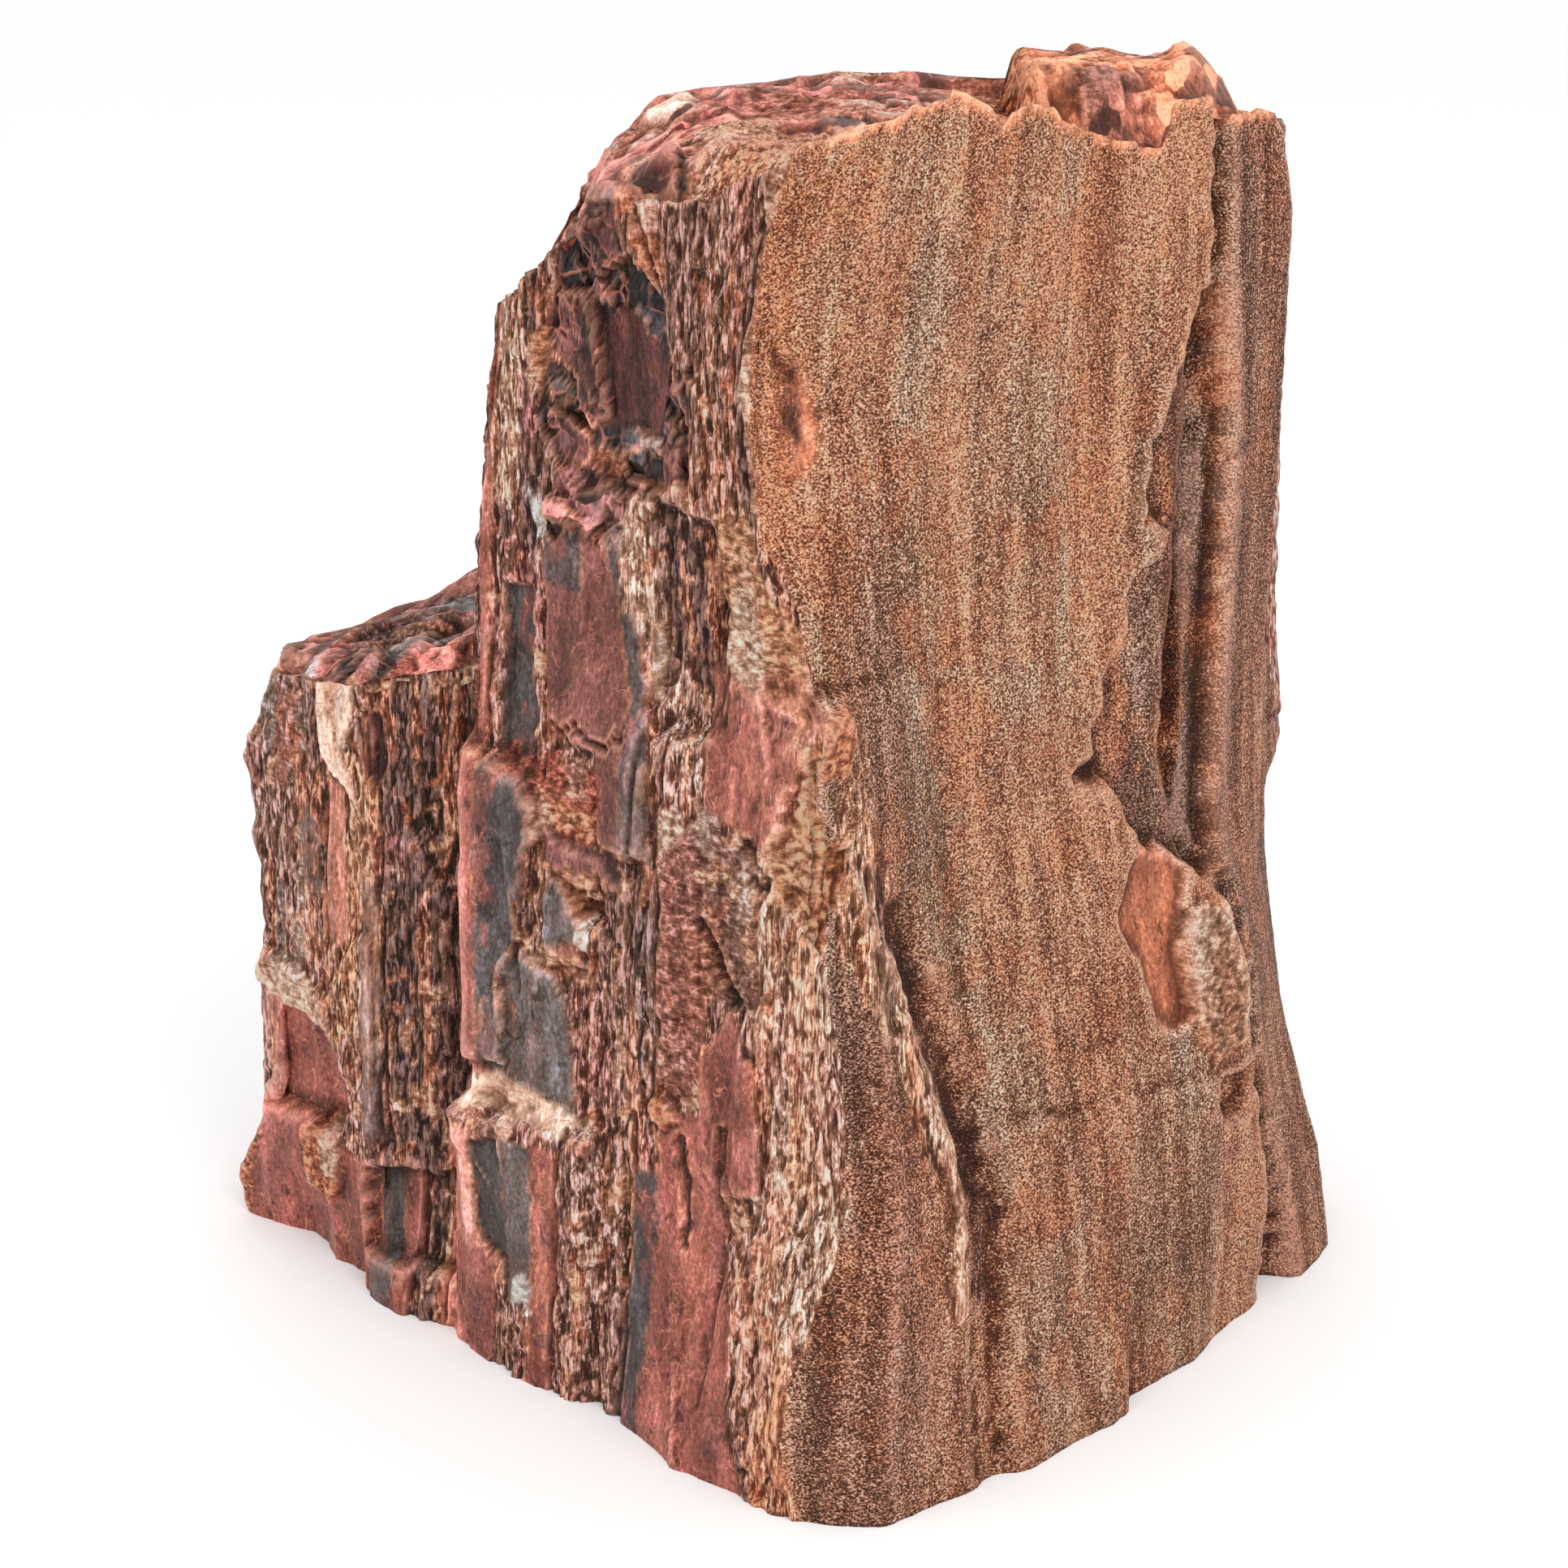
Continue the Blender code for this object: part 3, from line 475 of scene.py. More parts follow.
# Running place and how far the foot stands out there
FOOT_FLARE = [(-250, 2), (-235, 0), (-222, -5), (-214, -2), (-205, 0), (-195, -2), (-190, -5),
              (-182, -1), (-175, 3), (-165, 6), (-150, 5), (-142, 4), (-137, 2), (-80, 1), (-60, 1),
              (-45, 3), (-38, 5), (-28, 4), (-10, 0), (100, 1), (112, 3), (118, 3), (124, -2),
              (150, 0), (180, -2), (186, -4), (192, -6), (196, -3), (200, 3), (215, 3), (230, 0)]
print(len(BREAKS), 'broken places')

# %% [markdown]
# A broken place could be cut out with a Boolean, but that leaves sliver faces and one hard edge.
# Here each outline only pushes the surface in or out, and the pushes are added up to one relief.
# Long low waves go over the outer skin, and broken faces over the left side and the back.

# %% Relief of the broken places
FINEST_EDGE = 1.9
SMALL_FACE = 24.0
LARGE_FACE = 58.0


def broken_relief(u, z):
    """Sum of every broken place's rise or depth at running place u and height z, in mm."""
    relief = np.zeros(u.shape)
    for outline, rise, soft in BREAKS:
        relief += rise * inside(outline, u, z, max(soft, FINEST_EDGE))
    relief -= table(POST_GROOVE_DEPTH, z) * line_cut(POST_GROOVE, u, z, 7.0)
    relief -= 5.0 * line_cut(ROOT_GROOVE, u, z, 10.0)
    relief += 1.6 * line_cut(CREAM_STRIPE, u, z, 5.0)
    for slot in (LOWER_SLOT, SHARD_SLOT):
        relief -= 2.5 * line_cut(slot, u, z, 3.0)
    return relief


def rough_relief(u, x, y, z):
    """Waves of the outer skin, small broken faces on the left, and large ones round the back."""
    on_skin = smooth(-4.0, 8.0, u) * (1.0 - smooth(225.0, 250.0, u))
    on_left = smooth(-245.0, -225.0, u) * (1.0 - smooth(-10.0, 2.0, u))
    on_back = 1.0 - smooth(-270.0, -235.0, u) * (1.0 - smooth(232.0, 262.0, u))
    flutes = noise(u / 17.0, y * 0.0, z / 150.0, 11) + 0.6 * noise(x / 30.0, y / 30.0, z / 45.0, 12)
    small = facets(x / SMALL_FACE, y / SMALL_FACE, z / 42.0, 21)
    tall = facets(x / SMALL_FACE, y / SMALL_FACE, z / 85.0, 21)
    large = facets(x / LARGE_FACE, y / LARGE_FACE, z / 120.0, 31)
    return 1.3 * on_skin * flutes + 3.4 * on_left * tall + on_back * (11.0 * large + 3.0 * small)


flat = np.zeros(place.shape)
ragged_u = place + 1.3 * noise(place / 4.0, flat, form_z / 5.0, 51)
ragged_z = form_z + 1.8 * noise(place / 5.0, flat, form_z / 6.0, 52)
foot = table(FOOT_FLARE, place) * (1.0 - smooth(0.0, 45.0, form_z))
coarse = broken_relief(ragged_u, ragged_z) + rough_relief(place, form_x, form_y, form_z) + foot
print('coarse relief from', round(coarse.min(), 1), 'to', round(coarse.max(), 1), 'mm')

# %% [markdown]
# Petrified wood has four kinds of surface here, and each place is given its share of them. Fibre is
# the old grain of the wood, as thin upright ribs. Jasper is glassy and breaks into smooth faces
# with thin veins. Crumble is broken, sandy crystal. Skin is the worn outside, with a fine grain.
# Their colours are screen colours from 0 to 255, named here once for the whole stone.

# %% Kinds of surface, and colours as seen
KINDS = ('fibre', 'jasper', 'crumble', 'skin')
# The nearly black colour is painted shadow: in slots, cracks and beside the dark block on the top.
COLOURS = {
    'brick': (140, 72, 60), 'maroon': (98, 53, 47), 'dark red': (84, 40, 34),
    'slab red': (113, 61, 51), 'flake red': (164, 80, 58), 'rose': (172, 106, 90),
    'pale pink': (216, 154, 130), 'salmon': (186, 108, 86), 'orange': (196, 110, 72),
    'bright orange': (214, 134, 94), 'skin orange': (218, 126, 84), 'bare orange': (172, 96, 64),
    'rust': (206, 124, 86), 'ochre': (206, 140, 102), 'tan': (204, 154, 128),
    'stripe tan': (200, 146, 116), 'cream': (240, 206, 184), 'warm cream': (252, 172, 126),
    'facet cream': (217, 155, 128), 'chip cream': (230, 166, 130), 'white': (244, 236, 224),
    'grey': (140, 124, 113), 'slate': (93, 81, 76), 'charcoal': (68, 58, 55),
    'black': (50, 41, 40), 'shadow_black': (34, 24, 20), 'dark fibre': (92, 60, 49),
    'fibre': (140, 94, 77), 'light fibre': (178, 128, 106), 'skin': (206, 136, 100),
    'dark skin': (150, 98, 74), 'shadow brown': (98, 56, 38), 'olive': (158, 120, 94),
    'grain olive': (170, 124, 94),
}
print(len(COLOURS), 'colours for', len(KINDS), 'kinds of surface')

# %% [markdown]
# The zones are painted one over the other as outlines on the unrolled face, each with its colour,
# its kind and its strength, the way a signwriter lays in flat areas before any detail. The left
# face comes first, from its top down: it shows the inside of the trunk in upright bands.

# %% Zones of the left face
LEFT_ZONES = [
    (strip(-138, -126, 92, 352), 'brick', 'jasper', 0.9),
    (strip(-127, -116, 288, 368), 'tan', 'fibre', 0.9),
    (strip(-114, -102, 288, 368), 'dark fibre', 'fibre', 0.8),
    (strip(-122, -104, 262, 290), 'dark fibre', 'fibre', 0.9),
    ([(-110, 294), (-104, 294), (-99, 281), (-103, 279)], 'white', 'crumble', 0.9),
    (GREY_FURROW, 'charcoal', 'jasper', 1.0),
    (strip(-107, -100, 206, 262), 'rose', 'fibre', 0.8),
    (SHELL_BREAKS, 'dark red', 'jasper', 1.0),
    ([(-96, 386), (-70, 386), (-64, 366), (-78, 362), (-98, 358)], 'charcoal', 'jasper', 0.9),
    ([(-60, 345), (-46, 345), (-40, 318), (-56, 316)], 'charcoal', 'jasper', 0.9),
    (DARK_FACE, 'dark red', 'jasper', 0.95),
    ([(-113, 339), (-104, 344), (-92, 339), (-91, 326), (-102, 320), (-112, 325)],
     'bright orange', 'crumble', 0.95),
    (strip(-101, -82, 308, 325), 'dark fibre', 'crumble', 0.9),
    (strip(-71, -57, 303, 319), 'grey', 'jasper', 0.9),
    (strip(-99, -60, 289, 307), 'maroon', 'jasper', 1.0),
    ([(-64, 392), (-66, 384), (-50, 352), (-46, 330), (-42, 300), (-60, 300), (-60, 290), (-6, 296),
      (-4, 404)], 'fibre', 'fibre', 1.0),
    ([(-66, 386), (-56, 386), (-50, 362), (-58, 356)], 'orange', 'crumble', 0.7),
    (strip(-9, -3, 300, 404), 'stripe tan', 'crumble', 0.9),
    (strip(-12, -9, 300, 400), 'dark fibre', 'fibre', 0.9),
    (JASPER_SLAB, 'slab red', 'jasper', 1.0),
    (strip(-101, -85, 268, 286), 'charcoal', 'jasper', 0.85),
    ([(-79, 290), (-72, 290), (-66, 270), (-62, 245), (-61, 222), (-67, 222), (-69, 248), (-73, 270)],
     'charcoal', 'jasper', 0.9),
    ([(-72, 290), (-69, 290), (-62, 270), (-59, 240), (-61, 240), (-65, 268)], 'cream', 'crumble', 0.8),
    (strip(-70, -61, 192, 224), 'slate', 'jasper', 0.8),
    (strip(-71, -60, 262, 300), 'tan', 'fibre', 0.7),
    (DARK_FIBRES, 'dark fibre', 'fibre', 1.0),
    ([(-60, 252), (-40, 250), (-38, 215), (-60, 213)], 'light fibre', 'fibre', 0.8),
    ([(-36, 300), (-12, 302), (-2, 276), (2, 256), (-14, 244), (-36, 248)], 'ochre', 'crumble', 0.95),
    ([(-42, 256), (-14, 250), (-12, 232), (-20, 210), (-42, 212)], 'brick', 'jasper', 0.85),
    ([(-22, 256), (0, 262), (0, 244), (-16, 214), (-22, 226)], 'rose', 'jasper', 0.5),
    ([(-120, 214), (-80, 216), (-80, 190), (-118, 188)], 'flake red', 'crumble', 0.95),
    ([(-106, 204), (-84, 202), (-80, 194), (-104, 194)], 'bright orange', 'crumble', 0.7),
    ([(-102, 194), (-76, 192), (-68, 182), (-80, 178), (-102, 180)], 'maroon', 'jasper', 0.95),
    ([(-102, 182), (-64, 184), (-62, 166), (-90, 168), (-102, 170)], 'ochre', 'crumble', 0.85),
    (LARGE_LENS, 'slate', 'jasper', 1.0),
    (strip(-93, -84, 150, 160), 'brick', 'jasper', 0.8),
    (CREAM_LUMP, 'cream', 'crumble', 1.0),
    ([(-114, 152), (-80, 154), (-78, 147), (-112, 148)], 'chip cream', 'crumble', 0.9),
    (strip(-90, -79, 100, 146), 'rose', 'fibre', 0.8),
    (GREY_FACE, 'slate', 'jasper', 1.0),
    ([(-141, 210), (-124, 210), (-125, 150), (-127, 106), (-141, 104)], 'brick', 'jasper', 1.0),
    ([(-125, 210), (-106, 207), (-104, 190), (-112, 156), (-116, 140), (-116, 106), (-127, 106)],
     'charcoal', 'jasper', 1.0),
    (strip(-124, -112, 104, 132), 'slate', 'jasper', 0.8),
    ([(-140, 98), (-120, 106), (-100, 105), (-79, 101), (-78, 95), (-100, 95), (-120, 95), (-140, 90)],
     'cream', 'jasper', 0.9),
    ([(-128, 100), (-112, 104), (-104, 100), (-118, 94)], 'chip cream', 'crumble', 0.6),
    (strip(-136, -126, 20, 88), 'rose', 'jasper', 0.9),
    (strip(-141, -118, -10, 42), 'brick', 'jasper', 0.95),
    (DARK_RECESS, 'charcoal', 'jasper', 1.0),
    ([(-114, 88), (-101, 88), (-99, 30), (-110, 26), (-116, 40)], 'slate', 'jasper', 1.0),
    ([(-109, 39), (-101, 39), (-100, 28), (-108, 29)], 'white', 'crumble', 0.75),
    (strip(-101, -89, -10, 90), 'brick', 'jasper', 1.0),
    (strip(-98, -94, 10, 84), 'salmon', 'jasper', 0.6),
    (strip(-90, -63, -10, 98), 'fibre', 'fibre', 1.0),
    ([(-84, 178), (-62, 186), (-62, 98), (-80, 98)], 'fibre', 'fibre', 1.0),
    (strip(-67, -60, 92, 178), 'slate', 'fibre', 0.6),
    ([(-86, 90), (-66, 92), (-64, 36), (-84, 34)], 'light fibre', 'fibre', 0.6),
    (strip(-67, -55, -10, 92), 'charcoal', 'jasper', 1.0),
    (strip(-57, -34, -10, 116), 'brick', 'jasper', 1.0),
    ([(-52, 112), (-46, 112), (-38, 90), (-40, 40), (-46, 40)], 'salmon', 'jasper', 0.6),
    (JASPER_KNOB, 'orange', 'crumble', 1.0),
    ([(-60, 212), (-42, 210), (-40, 116), (-60, 120)], 'rose', 'crumble', 0.85),
    ([(-44, 214), (-18, 206), (-20, 156), (-42, 160)], 'fibre', 'crumble', 0.85),
    (WEDGE, 'brick', 'jasper', 0.9),
    ([(-22, 202), (4, 204), (10, 150), (8, 60), (-4, 40), (-20, 60), (-18, 120)], 'tan', 'fibre', 1.0),
    ([(-18, 202), (0, 200), (4, 150), (2, 104), (-8, 104), (-14, 150)], 'chip cream', 'fibre', 0.6),
    ([(-36, 96), (-20, 94), (-22, 84), (-32, 84)], 'chip cream', 'crumble', 0.8),
    ([(-26, 84), (-16, 66), (2, 60), (0, -10), (-10, -10), (-20, 40)], 'bright orange', 'fibre', 0.85),
    ([(-36, 70), (-26, 60), (-20, 20), (-12, -10), (-44, -10)], 'brick', 'jasper', 0.9),
    ([(-24, 84), (-12, 92), (-4, 44), (-12, 10), (-22, 40)], 'pale pink', 'fibre', 0.7),
]
print(len(LEFT_ZONES), 'zones on the left face')

# %% [markdown]
# The low block is the same wood, further out from the heart of the trunk. It has dark fibres beside
# the inner corner, then cream shards, ochre and grey-brown wood, and red jasper at the foot.

# %% Zones of the low left block
BLOCK_ZONES = [
    (strip(-174, -139, 48, 236), 'dark fibre', 'fibre', 1.0),
    (strip(-206, -174, 92, 200), 'ochre', 'fibre', 0.9),
    (strip(-181, -174, 60, 156), 'slate', 'jasper', 0.8),
    (strip(-196, -181, 34, 96), 'rose', 'fibre', 0.85),
    (strip(-186, -181, 40, 140), 'light fibre', 'fibre', 0.7),
    (strip(-262, -206, 110, 214), 'fibre', 'fibre', 1.0),
    (strip(-221, -206, 146, 174), 'slate', 'jasper', 0.8),
    (strip(-236, -222, 176, 214), 'rose', 'crumble', 0.7),
    (SHELF_LIP, 'chip cream', 'crumble', 0.8),
    (SHELF_FACET, 'brick', 'jasper', 1.0),
    (CREAM_SHARDS, 'cream', 'jasper', 0.95),
    ([(-192, 226), (-182, 226), (-188, 206), (-190, 196)], 'grey', 'jasper', 0.5),
    (strip(-206, -192, 130, 188), 'rose', 'jasper', 0.8),
    ([(-214, 214), (-208, 214), (-206, 150), (-214, 150)], 'dark fibre', 'fibre', 0.9),
    ([(-200, 222), (-194, 224), (-190, 200), (-194, 196)], 'bright orange', 'crumble', 0.7),
    (RED_LENS, 'maroon', 'jasper', 1.0),
    (strip(-262, -200, -10, 52), 'brick', 'jasper', 1.0),
    (strip(-262, -242, -10, 40), 'salmon', 'crumble', 0.8),
    (ORANGE_KNOB, 'orange', 'crumble', 1.0),
    (strip(-200, -178, -10, 50), 'brick', 'jasper', 0.95),
    (strip(-180, -168, -10, 50), 'charcoal', 'jasper', 0.95),
    (strip(-168, -160, -10, 50), 'brick', 'jasper', 0.9),
    (strip(-160, -147, -10, 60), 'dark fibre', 'fibre', 0.95),
    (strip(-149, -137, -10, 70), 'salmon', 'jasper', 0.95),
]
print(len(BLOCK_ZONES), 'zones on the low block')

# %% [markdown]
# The outer skin has fewer zones, and most are soft: darker and redder areas, the place where a
# layer is missing, and the fresh chips, which are orange inside.

# %% Zones of the outer skin
SKIN_ZONES = [
    ([(30, 252), (62, 240), (60, 196), (36, 200)], 'dark skin', 'skin', 0.7),
    ([(34, 402), (50, 402), (48, 380), (32, 380)], 'olive', 'skin', 0.6),
    ([(8, 180), (40, 160), (44, 60), (30, -10), (6, -10), (12, 104)], 'dark skin', 'skin', 0.75),
    ([(16, 250), (30, 246), (40, 200), (46, 140), (52, 110), (40, 110), (34, 150), (22, 200)],
     'grain olive', 'fibre', 0.55),
    ([(110, 402), (172, 404), (160, 300), (146, 250), (128, 222), (116, 260), (104, 340)], 'rust',
     'skin', 0.45),
    ([(44, 260), (100, 240), (118, 160), (104, 100), (64, 110), (52, 180)], 'olive', 'skin', 0.55),
    ([(10, 300), (44, 290), (56, 220), (40, 200), (16, 256)], 'dark skin', 'skin', 0.5),
    ([(4, -10), (40, -10), (44, 60), (8, 60)], 'tan', 'skin', 0.5),
    ([(22, 345), (44, 340), (58, 280), (50, 250), (22, 262)], 'dark skin', 'skin', 0.6),
    (strip(214, 240, 300, 392), 'charcoal', 'crumble', 0.7),
    (MISSING_LAYER, 'shadow brown', 'skin', 0.9),
    (SMOOTH_CHIP, 'bare orange', 'jasper', 0.9),
    (GRAINY_FLAKE, 'grain olive', 'crumble', 0.8),
    (CORNER_CHIP, 'bare orange', 'jasper', 0.85),
    (CORNER_HOLLOW, 'shadow brown', 'jasper', 0.9),
    (strip(-3, 6, 292, 410), 'bright orange', 'skin', 0.85),
    (strip(5, 11, 284, 410), 'bright orange', 'skin', 0.6),
    ([(12, 228), (31, 204), (38, 180), (40, 158), (47, 128), (54, 108), (42, 104), (32, 148), (18, 180),
      (11, 194), (19, 203), (18, 213), (9, 219)], 'grain olive', 'fibre', 0.75),
    (RIB_CHIP, 'warm cream', 'crumble', 0.95),
    ([(-19, 203), (-17, 215), (-10, 231), (-4, 240), (0, 226), (2, 206), (-4, 192), (-12, 198)],
     'cream', 'crumble', 0.15),
    ([(2, 214), (8, 216), (19, 212), (20, 200), (10, 192), (4, 184), (2, 200)],
     'bright orange', 'crumble', 0.8),
    (RIB_LUMP, 'orange', 'crumble', 0.9),
    ([(184, 410), (236, 410), (236, 100), (184, 100)], 'dark skin', 'skin', 0.75),
    ([(110, 70), (186, 94), (190, -10), (100, -10)], 'rust', 'skin', 0.6),
]
print(len(SKIN_ZONES), 'zones on the outer skin')

# %% [markdown]
# The picture of the zones is made once, as arrays: a colour and four shares for every point of the
# grid. A colour ramp in the shader could hold a few bands, but not this many outlines. Screen
# colours have to be turned into linear light before they are mixed.

# %% The blank picture, and how a colour is laid on it


def linear(colour):
    """Display colour from 0 to 255 turned into linear light, by the usual power curve."""
    share = np.asarray(colour, float) / 255.0
    return np.where(share <= 0.04045, share / 12.92, ((share + 0.055) / 1.055) ** 2.4)


def lay(tint, kinds, mask, colour, kind=None):
    """Moves colour and kind towards the given ones by the mask: old plus mask times the difference."""
    value = linear(COLOURS[colour])[:, None, None]
    tint += (value - tint) * mask
    if kind is not None:
        target = np.array([1.0 if name == kind else 0.0 for name in KINDS])[:, None, None]
        kinds += (target - kinds) * mask


on_top = smooth(3.0, 3.012, level)
on_ledge = smooth(0.99, 1.03, level) * (1.0 - smooth(1.9, 2.0, level))
on_ledge *= smooth(-350.0, -310.0, place) * (1.0 - smooth(-139.0, -133.0, place))
wall = 1.0 - np.maximum(on_top, on_ledge)
on_skin = smooth(-2.0, 3.0, place) * (1.0 - smooth(228.0, 250.0, place)) * (1.0 - on_top)
on_left = smooth(-262.0, -250.0, place) * (1.0 - smooth(-2.0, 3.0, place)) * (1.0 - on_top)
on_back = 1.0 - smooth(-262.0, -250.0, place) * (1.0 - smooth(228.0, 250.0, place))

tint = np.repeat(linear(COLOURS['fibre'])[:, None], place.size, axis=1).reshape(3, *place.shape)
kinds = np.zeros((4, *place.shape))
kinds[0] = 1.0
print('blank picture of', place.size, 'points')

# %% [markdown]
# A trunk grows in layers, so bands that follow the outer skin lie behind it. They colour the back,
# the top and the ledge, where few outlines are drawn. Each band is a range of depth behind the
# plane of the skin, and noise bends its edges.

# %% Bands of growth


def behind_skin_plane(x, y):
    """Depth in mm behind the upright plane of the outer skin: x and y along its inward direction."""
    return -0.677 * x + 0.738 * (y + 100.0)


depth = behind_skin_plane(form_x, form_y)
depth += 16.0 * noise(form_x / 60.0, form_y / 60.0, form_z / 150.0, 61)
depth += 3.0 * noise(form_x / 14.0, form_y / 14.0, form_z / 60.0, 62)
BANDS = [
    (-40, 10, 'skin', 'skin'), (10, 26, 'light fibre', 'fibre'), (26, 40, 'orange', 'crumble'),
    (40, 66, 'fibre', 'fibre'), (66, 92, 'brick', 'jasper'), (92, 106, 'charcoal', 'jasper'),
    (106, 128, 'maroon', 'jasper'), (128, 150, 'light fibre', 'fibre'), (150, 164, 'slate', 'jasper'),
    (164, 190, 'brick', 'jasper'), (190, 206, 'rose', 'crumble'), (206, 232, 'fibre', 'fibre'),
    (232, 260, 'brick', 'jasper'), (260, 340, 'light fibre', 'fibre'),
]
for near, far, colour, kind in BANDS:
    lay(tint, kinds, within(depth, near, far, 2.0), colour, kind)
print(len(BANDS), 'bands of growth')

# %% [markdown]
# Now the walls. The skin gets its own colour with soft upright streaks, and then all zones are laid
# in order. Wood splits along its grain, so most zones are read with a bent place and height, which
# frays their edges. Jasper breaks crisply, so its zones use the ragged outline of the relief, with
# a thin orange line along it here and there.

# %% Laying the zones
FRAYED_EDGE = 1.2
CRISP_EDGE = 1.4

lay(tint, kinds, on_skin, 'skin', 'skin')
streak = noise(place / 9.0, flat, form_z / 120.0, 63) + 0.5 * noise(place / 4.0, flat, form_z / 70.0, 64)
lay(tint, kinds, on_skin * 0.55 * smooth(0.1, 0.9, streak), 'rust')
lay(tint, kinds, on_skin * 0.55 * smooth(0.1, 0.9, -streak), 'olive')
lay(tint, kinds, on_left, 'fibre', 'fibre')

warp_u = place + 1.8 * noise(place / 5.0, flat, form_z / 14.0, 65)
warp_u += 1.5 * noise(place / 1.9, flat, form_z / 26.0, 66)
warp_z = form_z + 3.0 * noise(place / 4.0, flat, form_z / 12.0, 67)
warp_z += 2.0 * noise(place / 2.0, flat, form_z / 40.0, 68)
line_breaks = smooth(-0.3, 0.4, noise(place / 6.0, flat, form_z / 9.0, 109))
for outline, colour, kind, strength in LEFT_ZONES + BLOCK_ZONES + SKIN_ZONES:
    if kind == 'jasper':
        share = inside(outline, ragged_u, ragged_z, CRISP_EDGE)
        lay(tint, kinds, strength * wall * share, colour, kind)
        outline_ring = (1.0 - np.abs(2.0 * share - 1.0)) * on_left * line_breaks
        lay(tint, kinds, 0.5 * wall * outline_ring, 'bright orange')
    else:
        share = inside(outline, warp_u, warp_z, FRAYED_EDGE)
        lay(tint, kinds, strength * wall * share, colour, kind)
print('shares of fibre, jasper, crumble, skin:', kinds.mean(axis=(1, 2)).round(2))

# %% [markdown]
# Outlines alone look like a map, so patches of noise go over them. Red and dark jasper run into
# each other, pale crystal and orange flecks sit between the fibres, and the skin gets wide bands,
# orange patches, pale flecks and dark spots.

# %% Mottles, flecks and patches
mottle = noise(form_x / 7.0, form_y / 7.0, form_z / 20.0, 105)
mottle += 0.6 * noise(form_x / 3.0, form_y / 3.0, form_z / 6.0, 106)
dark_jasper = kinds[1] * (1.0 - smooth(0.06, 0.14, tint[0])) * on_left
red_jasper = kinds[1] * smooth(0.14, 0.22, tint[0]) * (1.0 - smooth(0.2, 0.3, tint[1])) * on_left
lay(tint, kinds, 0.6 * dark_jasper * smooth(0.25, 0.7, mottle), 'brick')
lay(tint, kinds, 0.6 * red_jasper * smooth(0.35, 0.8, -mottle), 'maroon')

far_left = on_left * (1.0 - smooth(-212.0, -206.0, place)) * smooth(100.0, 112.0, form_z)
lay(tint, kinds, 0.7 * far_left * smooth(0.1, 0.5, mottle), 'grey', 'crumble')
lay(tint, kinds, 0.6 * far_left * smooth(0.3, 0.7, -mottle), 'dark fibre', 'fibre')

fleck = noise(place / 2.6, flat, form_z / 4.5, 131) + 0.5 * noise(place / 9.0, flat, form_z / 20.0, 132)
lay(tint, kinds, 0.75 * on_left * (1.0 - kinds[1]) * smooth(0.62, 0.85, fleck), 'chip cream', 'crumble')
lay(tint, kinds, 0.6 * on_left * (1.0 - kinds[1]) * smooth(0.62, 0.85, -fleck), 'orange', 'crumble')

wide_streak = noise(place / 26.0, flat, form_z / 160.0, 107)
wide_streak += 0.5 * noise(place / 11.0, flat, form_z / 60.0, 108)
lay(tint, kinds, 0.6 * kinds[3] * smooth(0.0, 0.6, wide_streak), 'rust')
lay(tint, kinds, 0.55 * kinds[3] * smooth(0.1, 0.8, -wide_streak), 'olive')
patch = noise(place / 13.0, flat, form_z / 26.0, 141) + 0.5 * noise(place / 4.0, flat, form_z / 6.0, 142)
lay(tint, kinds, 0.6 * kinds[3] * smooth(0.15, 0.7, patch), 'skin orange')
dots = noise(place / 3.4, flat, form_z / 4.2, 143) + 0.4 * noise(place / 17.0, flat, form_z / 30.0, 144)
lay(tint, kinds, 0.45 * kinds[3] * smooth(0.8, 0.96, dots), 'chip cream')
lay(tint, kinds, 0.5 * kinds[3] * smooth(0.76, 0.94, -dots), 'shadow brown')
print('share of the left with pale flecks:', round(float((on_left * (fleck > 0.74)).mean()), 3))

# %% [markdown]
# Some marks are lines and not areas: a cream stripe with a dark furrow beside it, narrow slots and
# cracks with painted shadow, nearly black, inside them, and the fresh edges of the skin, which are
# bright orange of their own with a painted highlight along them.

# %% Lines, slots and fresh edges
stripe = line_cut(CREAM_STRIPE, warp_u * 0.5 + place * 0.5, form_z, 6.0) * wall
lay(tint, kinds, 0.75 * smooth(0.1, 0.6, stripe), 'stripe tan', 'fibre')
furrow = line_cut([(u + 9.0, z) for u, z in CREAM_STRIPE], warp_u, form_z, 5.0) * wall
lay(tint, kinds, 0.7 * furrow, 'maroon')

POST_CRACK = [(176, 392), (175, 372), (174, 350)]
SHELL_CRACK = [(-90, 294), (-82, 297), (-76, 292)]
# Painted shadow: the inside of narrow slots and cracks is laid in nearly black.
for slot in (LOWER_SLOT, SHARD_SLOT, UPPER_SLOT, POST_CRACK, SHELL_CRACK):
    lay(tint, kinds, 0.9 * wall * line_cut(slot, place, form_z, 1.8), 'shadow_black')

# Fresh broken edges: their own bright orange, partly a painted highlight along the break.
for outline in (MISSING_LAYER, SMOOTH_CHIP, GRAINY_FLAKE):
    ring = 1.0 - np.abs(2.0 * inside(outline, ragged_u, ragged_z, 3.0) - 1.0)
    lay(tint, kinds, 0.6 * wall * ring, 'bright orange', 'crumble')
# The rim of the skin: its own bright orange, partly a painted highlight along the top edge.
rim_level = level + 0.012 * noise(place / 3.0, flat, flat, 69)
rim_ring = smooth(2.978, 2.986, rim_level) * (1.0 - smooth(3.02, 3.04, level))
rim_ring *= smooth(-4.0, 2.0, place) * (1.0 - smooth(225.0, 240.0, place))
lay(tint, kinds, 0.8 * rim_ring, 'bright orange', 'jasper')
print('lines and fresh edges painted')
